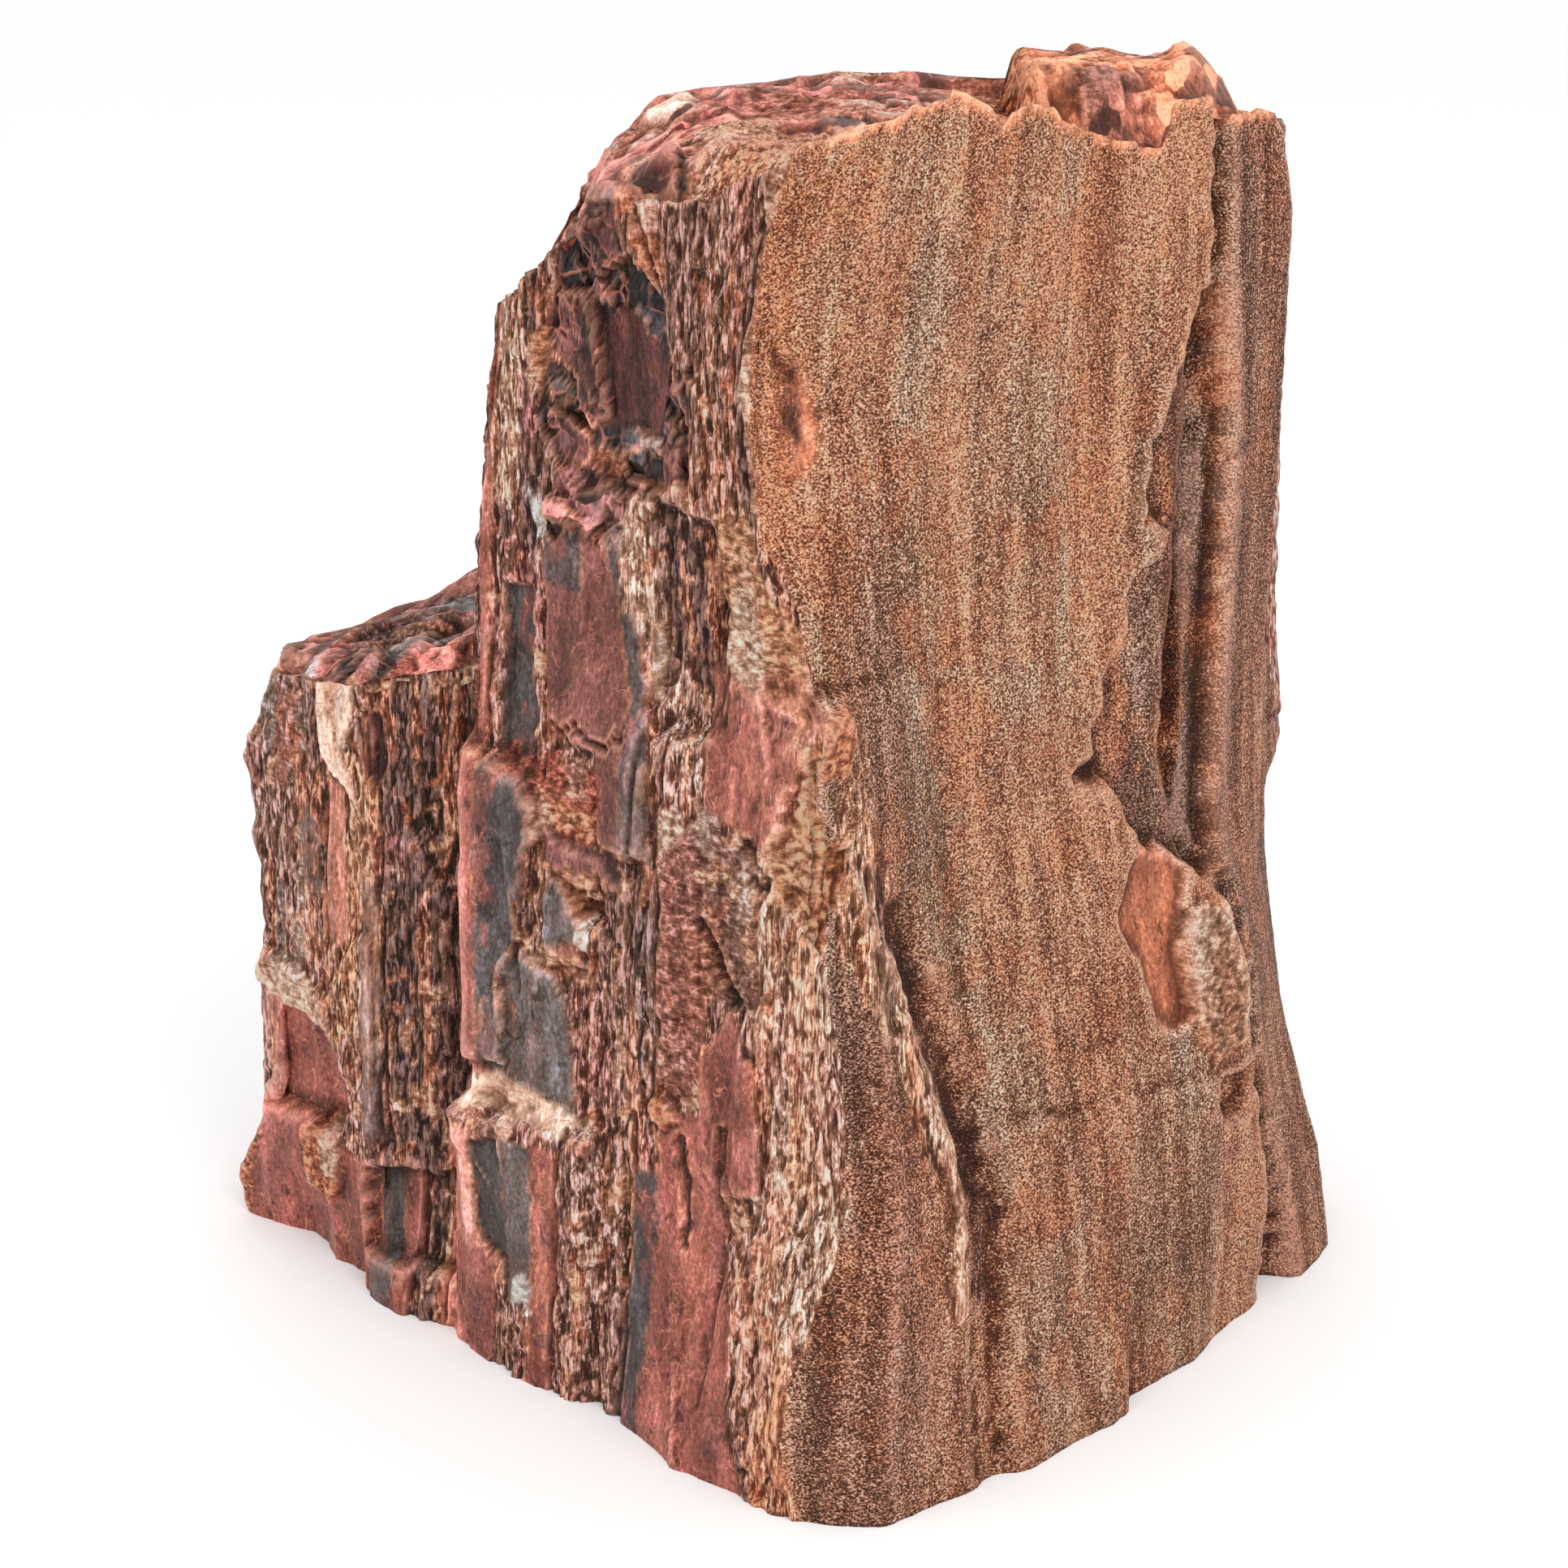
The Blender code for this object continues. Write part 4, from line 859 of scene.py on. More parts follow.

# %% [markdown]
# The top is seen at a low angle. It is broken across the grain, so it is paler and pinker than the
# walls: crumbled orange and cream behind the skin, a pale chamfer above the left face, red jasper
# with a dark block at the left and a painted shadow beside it, and an orange peak. Painted light
# later makes the whole top paler still. It is painted in plan, by x and y.

# %% Painting the top


def wander(seed):
    """Two sizes of noise in plan, 3 mm and 1.5 mm strong, which bend the edges of the zones."""
    wide = 3.0 * noise(form_x / 9.0, form_y / 9.0, flat, seed)
    return wide + 1.5 * noise(form_x / 3.5, form_y / 3.5, flat, seed + 1)


def spot(x, y, radius):
    """1 at a place in plan and 0 at the radius round it."""
    return 1.0 - smooth(0.5, 1.0, np.hypot(plan_x - x, plan_y - y) / radius)


plan_x = form_x + wander(111)
plan_y = form_y + wander(113)
inward = np.clip(level - 3.0, 0.0, 1.0)
patches = noise(form_x / 16.0, form_y / 16.0, flat, 115)
behind_skin = behind_skin_plane(plan_x, plan_y)
chamfer = within(place, -86.0, 10.0, 4.0) * (1.0 - smooth(0.4, 0.6, inward + 0.1 * patches))
left_top = within(place, -250.0, -86.0, 4.0) * (1.0 - smooth(0.45, 0.7, inward))
peak = within(plan_x, 62.0, 136.0, 2.0) * within(plan_y, -8.0, 74.0, 3.0)
notch_face = within(place, 112.0, 150.0, 2.0) * (1.0 - smooth(0.11, 0.13, inward))
dark_block = within(form_x, -52.0, -29.0, 0.8) * within(form_y, -59.0, -42.0, 0.8)
block_shadow = within(form_x, -30.0, -26.0, 0.8) * within(form_y, -60.0, -48.0, 0.8)
TOP_ZONES = [
    (0.8, 'salmon', 'crumble'),
    (0.9 * smooth(0.0, 0.2, patches), 'brick', 'jasper'),
    (0.95 * (1.0 - smooth(14.0, 34.0, behind_skin)), 'bright orange', 'crumble'),
    (0.7 * (1.0 - smooth(10.0, 50.0, behind_skin)) * smooth(-0.3, 0.3, patches), 'chip cream', 'crumble'),
    (left_top, 'brick', 'jasper'),
    (0.8 * left_top * smooth(0.0, 0.3, patches), 'salmon', 'jasper'),
    (chamfer, 'facet cream', 'fibre'),
    (0.7 * chamfer * smooth(0.0, 0.3, patches), 'rose', 'crumble'),
    (0.6 * chamfer * smooth(0.1, 0.4, -patches), 'light fibre', 'fibre'),
    (0.5 * chamfer * within(place, -40.0, -6.0), 'rust', 'fibre'),
    (0.4 * chamfer * smooth(0.0, 0.4, -patches), 'bright orange', 'fibre'),
    (0.6 * (1.0 - smooth(-4.0, 12.0, behind_skin)), 'bright orange', None),
    (spot(-44.0, 72.0, 24.0), 'dark fibre', 'crumble'),
    (spot(-36.0, 36.0, 10.0), 'cream', 'jasper'),
    (dark_block, 'dark red', 'jasper'),
    # Painted shadow cast by the raised dark block, laid in nearly black.
    (block_shadow, 'shadow_black', 'jasper'),
    (0.9 * peak, 'rust', 'jasper'),
    (0.9 * peak * smooth(94.0, 102.0, plan_x), 'bare orange', 'jasper'),
    (peak * (1.0 - smooth(72.0, 76.0, plan_x)), 'orange', 'fibre'),
    (0.9 * spot(96.0, 2.0, 13.0), 'maroon', 'crumble'),
    (notch_face, 'bare orange', 'jasper'),
    (0.6 * notch_face, 'brick', 'jasper'),
]
for share, colour, kind in TOP_ZONES:
    lay(tint, kinds, on_top * share, colour, kind)
print(len(TOP_ZONES), 'zones on the top')

# %% [markdown]
# The ledge is the broken top of the low block: red and rose jasper, crossed by the dark fibres and
# the charcoal band that run on from the walls, with a pale line along its rim.

# %% Painting the ledge
behind_rim = plan_y - table(LEDGE_RIM, form_x)
fibre_patch = within(plan_x, -138.0, -103.0, 2.0) * within(plan_y, 18.0, 40.0, 2.0)
charcoal_patch = within(plan_x, -116.0, -90.0, 2.0) * within(plan_y, 30.0, 72.0, 2.0)
brick_patch = within(plan_x, -126.0, -108.0, 1.0) * within(plan_y, -6.0, 6.0, 1.0)
slate_patch = within(plan_x, -130.0, -90.0, 1.0) * within(plan_y, 6.0, 17.0, 1.0)
grey_corner = (1.0 - smooth(-154.0, -151.0, plan_x)) * (1.0 - smooth(28.0, 31.0, plan_y))
LEDGE_ZONES = [
    (1.0, 'rose', 'crumble'),
    (0.9 * smooth(-0.1, 0.1, patches), 'brick', 'jasper'),
    (0.5 * smooth(0.1, 0.4, -patches), 'grey', 'crumble'),
    (fibre_patch, 'dark fibre', 'fibre'),
    (charcoal_patch, 'charcoal', 'jasper'),
    (within(behind_rim, -9.0, 5.0, 1.0), 'chip cream', 'crumble'),
    (brick_patch, 'brick', 'jasper'),
    (slate_patch, 'slate', 'jasper'),
    (spot(-137.0, 12.0, 12.0), 'maroon', 'jasper'),
    (grey_corner, 'grey', 'jasper'),
]
for share, colour, kind in LEDGE_ZONES:
    lay(tint, kinds, on_ledge * share, colour, kind)
print(len(LEDGE_ZONES), 'zones on the ledge')

# %% [markdown]
# Last come strands and clouds of colour inside every zone, and the general tone. The foot of the
# skin and the groove at its right are darker, and painted light makes the broken top and the ledge
# lighter than the walls.

# %% Strands, clouds and tone
strand = noise(place / 2.3, flat, form_z / 45.0, 101)
cloud = noise(form_x / 11.0, form_y / 11.0, form_z / 24.0, 102)
lay(tint, kinds, 0.5 * kinds[0] * smooth(0.25, 0.6, strand), 'orange')
lay(tint, kinds, 0.5 * kinds[0] * smooth(0.3, 0.6, -strand), 'shadow brown')
lay(tint, kinds, 0.5 * kinds[0] * smooth(0.3, 0.7, cloud), 'brick')
lay(tint, kinds, 0.5 * kinds[2] * smooth(0.2, 0.6, cloud), 'cream')
not_pale = 1.0 - smooth(0.3, 0.5, tint[1])
lay(tint, kinds, 0.4 * kinds[2] * smooth(0.2, 0.6, -cloud) * not_pale, 'rust')
foot_shade = 0.24 * (1.0 - smooth(60.0, 230.0, form_z))
corner_shade = 0.36 * (1.0 - smooth(20.0, 84.0, place)) * (1.0 - smooth(200.0, 320.0, form_z))
groove_shade = 0.4 * smooth(178.0, 186.0, place)
tint *= np.exp(-kinds[3] * (foot_shade + corner_shade + groove_shade))
# Painted light: the top and the ledge, which face up, are made lighter than the walls.
tint *= np.exp(0.2 * strand + 0.16 * cloud + 0.32 * on_top + 0.1 * on_ledge)
print('mean colour in linear light:', tint.mean(axis=(1, 2)).round(3))

# %% [markdown]
# Each kind of surface now gets its own fine relief, as real points of the mesh and not only as a
# bump, so that edges and outlines are rough too. Fibres are upright ridges with sharp furrows
# between them, crumble is lumpy noise, skin is nearly flat, and jasper is broken faces of two sizes.

# %% Fine relief of fibre, crumble, skin and jasper


def fibre_relief(u, z):
    """Upright ribs: the size of stretched noise, so that each zero crossing is a sharp furrow."""
    sway = u + 1.5 * noise(u / 9.0, flat, z / 30.0, 71)
    wide = np.abs(noise(sway / 2.6, flat, z / 17.0, 72))
    thin = np.abs(noise(sway / 1.6, flat, z / 7.0, 73))
    pits = noise(sway / 3.0, flat, z / 6.0, 74)
    return 1.9 * (wide - 0.35) + 1.3 * (thin - 0.35) + 0.8 * pits


def crumb_relief(x, y, z):
    """Lumps of two sizes from plain noise."""
    return 0.9 * noise(x / 4.2, y / 4.2, z / 4.2, 75) + 0.6 * noise(x / 2.0, y / 2.0, z / 2.4, 76)


def skin_relief(u, z):
    """Low grains, and long faint ribs that run up the skin."""
    return 0.25 * noise(u / 3.0, flat, z / 2.6, 77) + 0.3 * noise(u / 5.0, flat, z / 40.0, 78)


SHELL_SIZE = 17.0
BACK_SHELL_SIZE = 26.0
CHIP_SIZE = 8.0
fibres = fibre_relief(place, form_z)
crumbs = crumb_relief(form_x, form_y, form_z)
grains = skin_relief(place, form_z)
front_faces = broken_faces(form_x / SHELL_SIZE, form_y / SHELL_SIZE, form_z / SHELL_SIZE, 81)
back_faces = broken_faces(form_x / BACK_SHELL_SIZE, form_y / BACK_SHELL_SIZE, form_z / 34.0, 82)
shell, shell_edge, shell_face = [np.where(on_back > 0.5, back, front)
                                 for front, back in zip(front_faces, back_faces)]
chips = broken_faces(form_x / CHIP_SIZE, form_y / CHIP_SIZE, form_z / CHIP_SIZE, 83)[0]
print('fibres from', round(fibres.min(), 1), 'to', round(fibres.max(), 1), 'mm')

# %% [markdown]
# Jasper isn't broken up everywhere: on the slabs it is nearly smooth. It is shattered in the
# shell-like break under the chamfer, on the top and the ledge, and less so at the back. One large
# smooth face lies deep in the break, and the small faces round it are black or deep red.

# %% Where the jasper is shattered, and the sum of the fine relief
BREAK_FOOT = strip(-102, -56, 284, 310)
SHELL_RISE = 4.5
CHIP_RISE = 1.6
CRUMB_SHARE = 0.8
DARK_FACE_DEPTH = 2.0

shattered = np.maximum(inside(SHELL_BREAKS, warp_u, warp_z, 2.0), inside(BREAK_FOOT, warp_u, warp_z, 2.0))
shattered = np.maximum(shattered, np.maximum(on_top, on_ledge))
shattered = 0.06 + 0.94 * np.maximum(shattered, 0.6 * on_back)
dark_face = inside(DARK_FACE, place, form_z, 0.8)
shattered *= 1.0 - 0.95 * dark_face
shell_break = inside(SHELL_BREAKS, warp_u, warp_z, 1.0)
in_shell = shell_break * (1.0 - dark_face)
lay(tint, kinds, 0.9 * in_shell * (shell_face < 0.34), 'black', 'jasper')
lay(tint, kinds, 0.9 * in_shell * (shell_face > 0.6), 'dark red', 'jasper')
lay(tint, kinds, 0.7 * in_shell * (shell_face > 0.93), 'bright orange', 'crumble')
fine = kinds[0] * fibres + CRUMB_SHARE * kinds[2] * crumbs + kinds[3] * grains
fine += kinds[1] * (SHELL_RISE * shell + CHIP_RISE * chips) * shattered
fine -= DARK_FACE_DEPTH * dark_face
print('share of shattered stone:', round(shattered.mean(), 2))

# %% [markdown]
# Two more marks go into the fine relief: ripples on the long chip of the root rib, as a blow
# leaves them in glassy stone, and gaps between the upright columns of the left face.

# %% Ripples on the rib's chip, and gaps between the columns
RIPPLE_RISE = 0.65
chip_share = inside(RIB_CHIP, ragged_u, ragged_z, 2.0)
ripple_bend = 5.0 * noise(place / 8.0, flat, form_z / 6.0, 121)
fine += RIPPLE_RISE * chip_share * np.sin(1.5 * form_z - 0.3 * place + ripple_bend)

# Path, depth and half width in mm
GAPS = [
    ([(-143, 236), (-142, 60)], 3.4, 3.5), ([(-104, 262), (-103, 206)], 2.0, 2.5),
    ([(-126, 290), (-124, 212)], 1.8, 2.0), ([(-90, 98), (-90, 0)], 2.4, 2.5),
    ([(-68, 98), (-67, 0)], 2.0, 2.5), ([(-34, 116), (-34, 20)], 2.0, 2.5),
    ([(-80, 182), (-79, 100)], 2.4, 2.5), ([(-60, 216), (-61, 116)], 1.8, 2.5),
    ([(-62, 290), (-60, 232)], 2.0, 2.5), ([(-36, 300), (-36, 240)], 1.8, 2.5),
    ([(-91, 226), (-82, 225), (-71, 228)], 3.0, 1.8), ([(-206, 200), (-204, 116)], 2.0, 2.5),
    ([(-173, 226), (-173, 60)], 2.2, 2.5), ([(-160, 52), (-160, 0)], 2.4, 2.5),
    ([(-147, 60), (-147, 0)], 2.4, 2.0), ([(-64, 384), (-50, 352), (-46, 330), (-44, 300)], 2.6, 2.5),
    ([(-21, 156), (-21, 84)], 1.6, 2.0), ([(-101, 302), (-101, 292)], 2.0, 2.0),
    ([(-9, 384), (-9, 300)], 1.4, 1.8),
]
for path, gap_depth, half_width in GAPS:
    fine -= gap_depth * line_cut(path, warp_u, warp_z, half_width)
print('fine relief from', round(fine.min(), 1), 'to', round(fine.max(), 1), 'mm')

# %% [markdown]
# The top and the ledge are broken across the grain. Splinters stand up from them, the top lies a
# little lower than its rim, one block stands proud at the left, and the ledge climbs in two tiers.

# %% Relief of the top, its rim and the ledge
SPLINTER_SIZE = 11.0
SPLINTER_RISE = 2.4
BLOCK_RISE = 4.0
TOP_DIP = 5.0

splinters = SPLINTER_RISE * broken_faces(form_x / SPLINTER_SIZE, form_y / SPLINTER_SIZE,
                                         form_z / 30.0, 44)[0]
splinters += 0.7 * noise(form_x / 5.0, form_y / 5.0, flat, 46)
top_relief = splinters * (1.0 - 0.7 * notch_face) + 0.5 * crumbs - TOP_DIP * smooth(0.0, 0.08, inward)
top_relief += BLOCK_RISE * dark_block + 3.0 * spot(-36.0, 36.0, 10.0)
top_relief *= on_top
rim_chips = 1.8 * facets(place / 9.0, flat, flat, 47) + 0.4 * noise(place / 5.0, flat, flat, 48)
at_rim = smooth(2.95, 3.0, level) * (1.0 - smooth(3.0, 3.05, level))
top_relief += at_rim * (1.0 - 0.6 * on_back) * rim_chips
tiers = 3.0 * smooth(20.0, 23.0, plan_y) + 4.0 * spot(-137.0, 12.0, 13.0) - 4.0
shards = 3.0 * broken_faces(form_x / 15.0, form_y / 15.0, flat, 45)[0]
ledge_relief = on_ledge * (shards + 0.8 * splinters + tiers)
print('top relief from', round(top_relief.min(), 1), 'to', round(top_relief.max(), 1), 'mm')

# %% [markdown]
# Every point of the walls moves along the normal of the plain form by its relief. A Displace
# modifier would do the same with a texture, but whole arrays keep the millimetres in sight. The top
# and the ledge move straight up or down instead, and the foot stays flat on the floor.

# %% Moving the points
relief = (1.0 - on_top) * (coarse * (1.0 - on_ledge) + fine * (1.0 - 0.6 * on_ledge))
x = form_x + normal[0] * relief
y = form_y + normal[1] * relief
z = form_z + normal[2] * relief + top_relief + ledge_relief
z = np.maximum(z, 0.0)
z[:, 0] = 0.0
x = (x + CENTRE_SHIFT[0]) * MM
y = (y + CENTRE_SHIFT[1]) * MM
z = z * MM
print('detailed stone, mm:', [round(1000 * float(v.max() - v.min()), 1) for v in (x, y, z)])

# %% [markdown]
# Edges of broken stone are painted paler, as a painted highlight, and hollows darker, as a painted
# shade. A shader could find edges by itself, but not in every way of showing the part. So both come
# from one measure of the mesh: how far a point stands out of the mean of its neighbours.

# %% Painted highlight on edges and painted shade in hollows


def bulge(x, y, z, normal, reach):
    """How far each point stands out of the mean of its four neighbours at a reach, in mm."""
    total = np.zeros(x.shape)
    for values, part in zip((x, y, z), normal):
        padded = np.pad(values, ((0, 0), (reach, reach)), mode='edge')
        around = np.roll(values, reach, axis=0) + np.roll(values, -reach, axis=0)
        around += padded[:, 2 * reach:] + padded[:, :-2 * reach]
        total += (values - around / 4.0) * part
    return total / MM


fine_normal = outward(x, y, z)
near_bulge = bulge(x, y, z, fine_normal, 1)
far_bulge = bulge(x, y, z, fine_normal, 3)
# Painted highlight where a point stands out, painted shade where it sinks in.
edge = np.clip(smooth(0.1, 0.5, near_bulge) + 0.6 * smooth(0.8, 2.6, far_bulge), 0.0, 1.0)
hollow_shade = np.clip(smooth(0.06, 0.45, -near_bulge) + 0.8 * smooth(0.5, 2.4, -far_bulge), 0.0, 1.0)
edge *= 1.0 - 0.7 * on_back
hollow_shade *= 1.0 - 0.4 * on_back
print('mean of edge and hollow:', round(edge.mean(), 3), round(hollow_shade.mean(), 3))

# %% [markdown]
# In shattered jasper each broken face has its own depth of colour, and a pale line shows where two
# faces meet. The shell-like break and the back are darker as a whole.

# %% Colour of the broken faces
broken_share = kinds[1] * shattered
tint *= 1.0 + 1.1 * broken_share * (shell_face - 0.5)
tint *= 1.0 - 0.14 * on_back
rim_gaps = smooth(-0.2, 0.5, noise(form_x / 9.0, form_y / 9.0, form_z / 9.0, 79))
rim_line = (1.0 - 0.6 * on_back) * (1.0 - smooth(0.0, 0.1, shell_edge)) * rim_gaps
edge = np.clip(edge + 0.7 * broken_share * rim_line, 0.0, 1.0)
tint *= 1.0 - 0.3 * shell_break
lay(tint, kinds, 0.6 * in_shell * rim_line, 'bright orange')
print('share of broken jasper:', round(broken_share.mean(), 3))

# %% [markdown]
# The mesh: one quadrilateral between four neighbouring points, a fan of triangles round the middle
# of the top, and one flat face underneath, so it is closed all round. Jasper's faces are shaded
# flat, the rest smooth. Colour, shares, and the painted highlight and painted shade go with the
# points as attributes for the material.

# %% Building the mesh
hub = np.array([[(HUB[0] + CENTRE_SHIFT[0]) * MM, (HUB[1] + CENTRE_SHIFT[1]) * MM, z[:, -1].mean()]])
points = np.concatenate([np.stack([x, y, z], axis=-1).reshape(-1, 3), hub])
count_u, count_t = x.shape
index = np.arange(count_u * count_t).reshape(count_u, count_t)
following = np.roll(index, -1, axis=0)
corners = [index[:, :-1], following[:, :-1], following[:, 1:], index[:, 1:]]
quads = np.stack(corners, axis=-1).reshape(-1, 4)
fan = np.stack([index[:, -1], following[:, -1], np.full(count_u, len(points) - 1)], axis=-1)
foot_face = [index[::-1, 0].tolist()]

stone_mesh = bpy.data.meshes.new('petrified_stone')
stone_mesh.from_pydata(points.tolist(), [], quads.tolist() + fan.tolist() + foot_face)
quad_jasper = 0.5 * (kinds[1] + np.roll(kinds[1], -1, axis=0))[:, :-1]
smooth_quads = (quad_jasper < 0.6).reshape(-1).tolist()
stone_mesh.polygons.foreach_set('use_smooth', smooth_quads + [False] * (len(fan) + 1))


def keep(name, red, green, blue):
    """Stores three arrays of the grid as one colour attribute; the hub gets their last row's mean."""
    values = np.ones((len(points), 4), np.float32)
    for channel, array in enumerate((red, green, blue)):
        values[:-1, channel] = array.reshape(-1)
        values[-1, channel] = array[:, -1].mean()
    layer = stone_mesh.color_attributes.new(name, 'FLOAT_COLOR', 'POINT')
    layer.data.foreach_set('color', values.reshape(-1))


keep('tint', *tint)
keep('kinds', kinds[0], kinds[1], kinds[2])
# The painted highlight on edges, the painted shade in hollows, and the shattered share.
keep('edge_highlight_hollow_shade_breaks', edge, hollow_shade, shattered)
stone_mesh.update()
stone = bpy.data.objects.new('petrified_stone', stone_mesh)
bpy.context.scene.collection.objects.link(stone)
print(len(points), 'points,', 2 * len(quads) + len(fan), 'triangles and the foot')

# %% [markdown]
# The finish is painted in the shader. Small node groups make one pattern each from the object's own
# coordinates in metres, so a scale of 500 means features of about two millimetres. A pattern is
# stretched upright by reading the height several times more slowly than the width.

# %% Helpers for node groups


def new_group(name, inputs, outputs):
    """An empty shader group with named float or vector sockets, and its two end nodes."""
    group = bpy.data.node_groups.new(name, 'ShaderNodeTree')
    for title, kind, value in inputs:
        socket = group.interface.new_socket(title, in_out='INPUT', socket_type=kind)
        if value is not None:
            socket.default_value = value
    for title, kind in outputs:
        group.interface.new_socket(title, in_out='OUTPUT', socket_type=kind)
    return group, group.nodes.new('NodeGroupInput'), group.nodes.new('NodeGroupOutput')


def attach(tree, socket, value):
    """Links a socket to another socket, or sets a plain number or colour on it."""
    if isinstance(value, bpy.types.NodeSocket):
        tree.links.new(value, socket)
    else:
        socket.default_value = value


def sums(tree, operation, *values):
    """One Math node on the given sockets or numbers, and its result."""
    node = tree.nodes.new('ShaderNodeMath')
    node.operation = operation
    for socket, value in zip(node.inputs, values):
        attach(tree, socket, value)
    return node.outputs[0]


def spread(tree, value, low, high, to_low=0.0, to_high=1.0):
    """Maps a value from one range to another, and keeps it inside the second."""
    node = tree.nodes.new('ShaderNodeMapRange')
    for title, number in (('Value', value), ('From Min', low), ('From Max', high),
                          ('To Min', to_low), ('To Max', to_high)):
        attach(tree, node.inputs[title], number)
    return node.outputs['Result']


def blend_colours(tree, share, first, second, method='MIX'):
    """Mixes two colours by a share."""
    node = tree.nodes.new('ShaderNodeMix')
    node.data_type = 'RGBA'
    node.blend_type = method
    attach(tree, node.inputs[0], share)
    attach(tree, node.inputs[6], first)
    attach(tree, node.inputs[7], second)
    return node.outputs[2]


def stretched_noise(tree, vector, scale, detail=3.0, roughness=0.55, distortion=0.0):
    """Noise of the given three scales per metre, as a value round one half."""
    mapping = tree.nodes.new('ShaderNodeMapping')
    mapping.inputs['Scale'].default_value = scale
    attach(tree, mapping.inputs['Vector'], vector)
    node = tree.nodes.new('ShaderNodeTexNoise')
    node.inputs['Scale'].default_value = 1.0
    node.inputs['Detail'].default_value = detail
    node.inputs['Roughness'].default_value = roughness
    node.inputs['Distortion'].default_value = distortion
    tree.links.new(mapping.outputs['Vector'], node.inputs['Vector'])
    return node.outputs['Fac']


def signed(tree, value, gain):
    """A noise value turned into a shade that swings to both sides of nought, times a gain."""
    return sums(tree, 'MULTIPLY', sums(tree, 'SUBTRACT', value, 0.5), gain)


print('node helpers ready')

# %% [markdown]
# Three of the four kinds need only stretched noise. Fibres are noise drawn out upright at two
# sizes, skin is a fine grain with long faint streaks, and crumble is rough noise with much detail.
# Each group gives a shade for the colour and a height for the bump from the same noise, so that
# raised places are painted lighter and low ones darker: partly the grain's own tone, partly a
# painted highlight and painted shade.

# %% Fibres, skin grain and crumbled crystal, one group each
PATTERN_START = [('Vector', 'NodeSocketVector', None)]
PATTERN_ENDS = [('Shade', 'NodeSocketFloat'), ('Height', 'NodeSocketFloat')]

fibre_group, start, end = new_group('upright fibres', PATTERN_START, PATTERN_ENDS)
ribs = stretched_noise(fibre_group, start.outputs[0], (950.0, 950.0, 130.0), 4.0, 0.66, 0.8)
breaks = stretched_noise(fibre_group, start.outputs[0], (420.0, 420.0, 200.0), 4.0, 0.66)
both = sums(fibre_group, 'ADD', signed(fibre_group, ribs, 0.66), signed(fibre_group, breaks, 0.46))
fibre_group.links.new(sums(fibre_group, 'MULTIPLY', both, 15.5), end.inputs['Shade'])
fibre_group.links.new(both, end.inputs['Height'])

skin_group, start, end = new_group('skin grain', PATTERN_START, PATTERN_ENDS)
grain = stretched_noise(skin_group, start.outputs[0], (1250.0, 1250.0, 1600.0), 2.0, 0.5, 0.3)
streaks = stretched_noise(skin_group, start.outputs[0], (150.0, 150.0, 9.0), 4.0, 0.6, 0.3)
shade = sums(skin_group, 'ADD', signed(skin_group, grain, 8.8), signed(skin_group, streaks, 2.8))
skin_group.links.new(shade, end.inputs['Shade'])
skin_group.links.new(signed(skin_group, grain, 1.0), end.inputs['Height'])

crumb_group, start, end = new_group('crumbled crystal', PATTERN_START, PATTERN_ENDS)
lumps = stretched_noise(crumb_group, start.outputs[0], (300.0, 300.0, 520.0), 6.0, 0.74, 0.15)
crumb_group.links.new(signed(crumb_group, lumps, 9.0), end.inputs['Shade'])
crumb_group.links.new(signed(crumb_group, lumps, 0.9), end.inputs['Height'])

print('three pattern groups ready')

# %% [markdown]
# Jasper needs more care. It is cloudy and dusted with specks, and fine pale veins run through it. A
# vein is where a noise is close to one half, which is always a thin wandering line. There are two
# nets of them, the finer one only where the clouds are light, and dark marks in between.

# %% Jasper: clouds, veins and marks
JASPER_ENDS = ['Veins', 'Face height', 'Face shade', 'Face edge']
jasper_group, start, end = new_group(
    'jasper', PATTERN_START, PATTERN_ENDS + [(name, 'NodeSocketFloat') for name in JASPER_ENDS])
clouds = stretched_noise(jasper_group, start.outputs[0], (90.0, 90.0, 34.0), 5.0, 0.62, 0.4)
dust = stretched_noise(jasper_group, start.outputs[0], (900.0, 900.0, 500.0), 3.0, 0.6)
shade = sums(jasper_group, 'ADD', signed(jasper_group, clouds, 3.0), signed(jasper_group, dust, 2.4))
path = stretched_noise(jasper_group, start.outputs[0], (115.0, 115.0, 80.0), 3.0, 0.6, 0.7)
off_path = sums(jasper_group, 'ABSOLUTE', sums(jasper_group, 'SUBTRACT', path, 0.5))
veins = spread(jasper_group, off_path, 0.003, 0.012, 1.0, 0.0)
fine_path = stretched_noise(jasper_group, start.outputs[0], (260.0, 260.0, 170.0), 2.0, 0.6, 0.5)
off_fine = sums(jasper_group, 'ABSOLUTE', sums(jasper_group, 'SUBTRACT', fine_path, 0.5))
fine_veins = sums(jasper_group, 'MULTIPLY', spread(jasper_group, off_fine, 0.003, 0.014, 1.0, 0.0),
                  spread(jasper_group, clouds, 0.46, 0.6, 0.0, 0.8))
veins = sums(jasper_group, 'MAXIMUM', veins, fine_veins)
marks = stretched_noise(jasper_group, start.outputs[0], (210.0, 210.0, 120.0), 4.0, 0.7, 0.6)
marks = spread(jasper_group, marks, 0.3, 0.42, 1.3, 0.0)
shade = sums(jasper_group, 'SUBTRACT', shade, marks)
height = sums(jasper_group, 'ADD', signed(jasper_group, clouds, 0.5),
              sums(jasper_group, 'MULTIPLY', veins, 0.05))
jasper_group.links.new(shade, end.inputs['Shade'])
jasper_group.links.new(height, end.inputs['Height'])
jasper_group.links.new(veins, end.inputs['Veins'])
print('jasper group with', len(jasper_group.nodes), 'nodes so far')

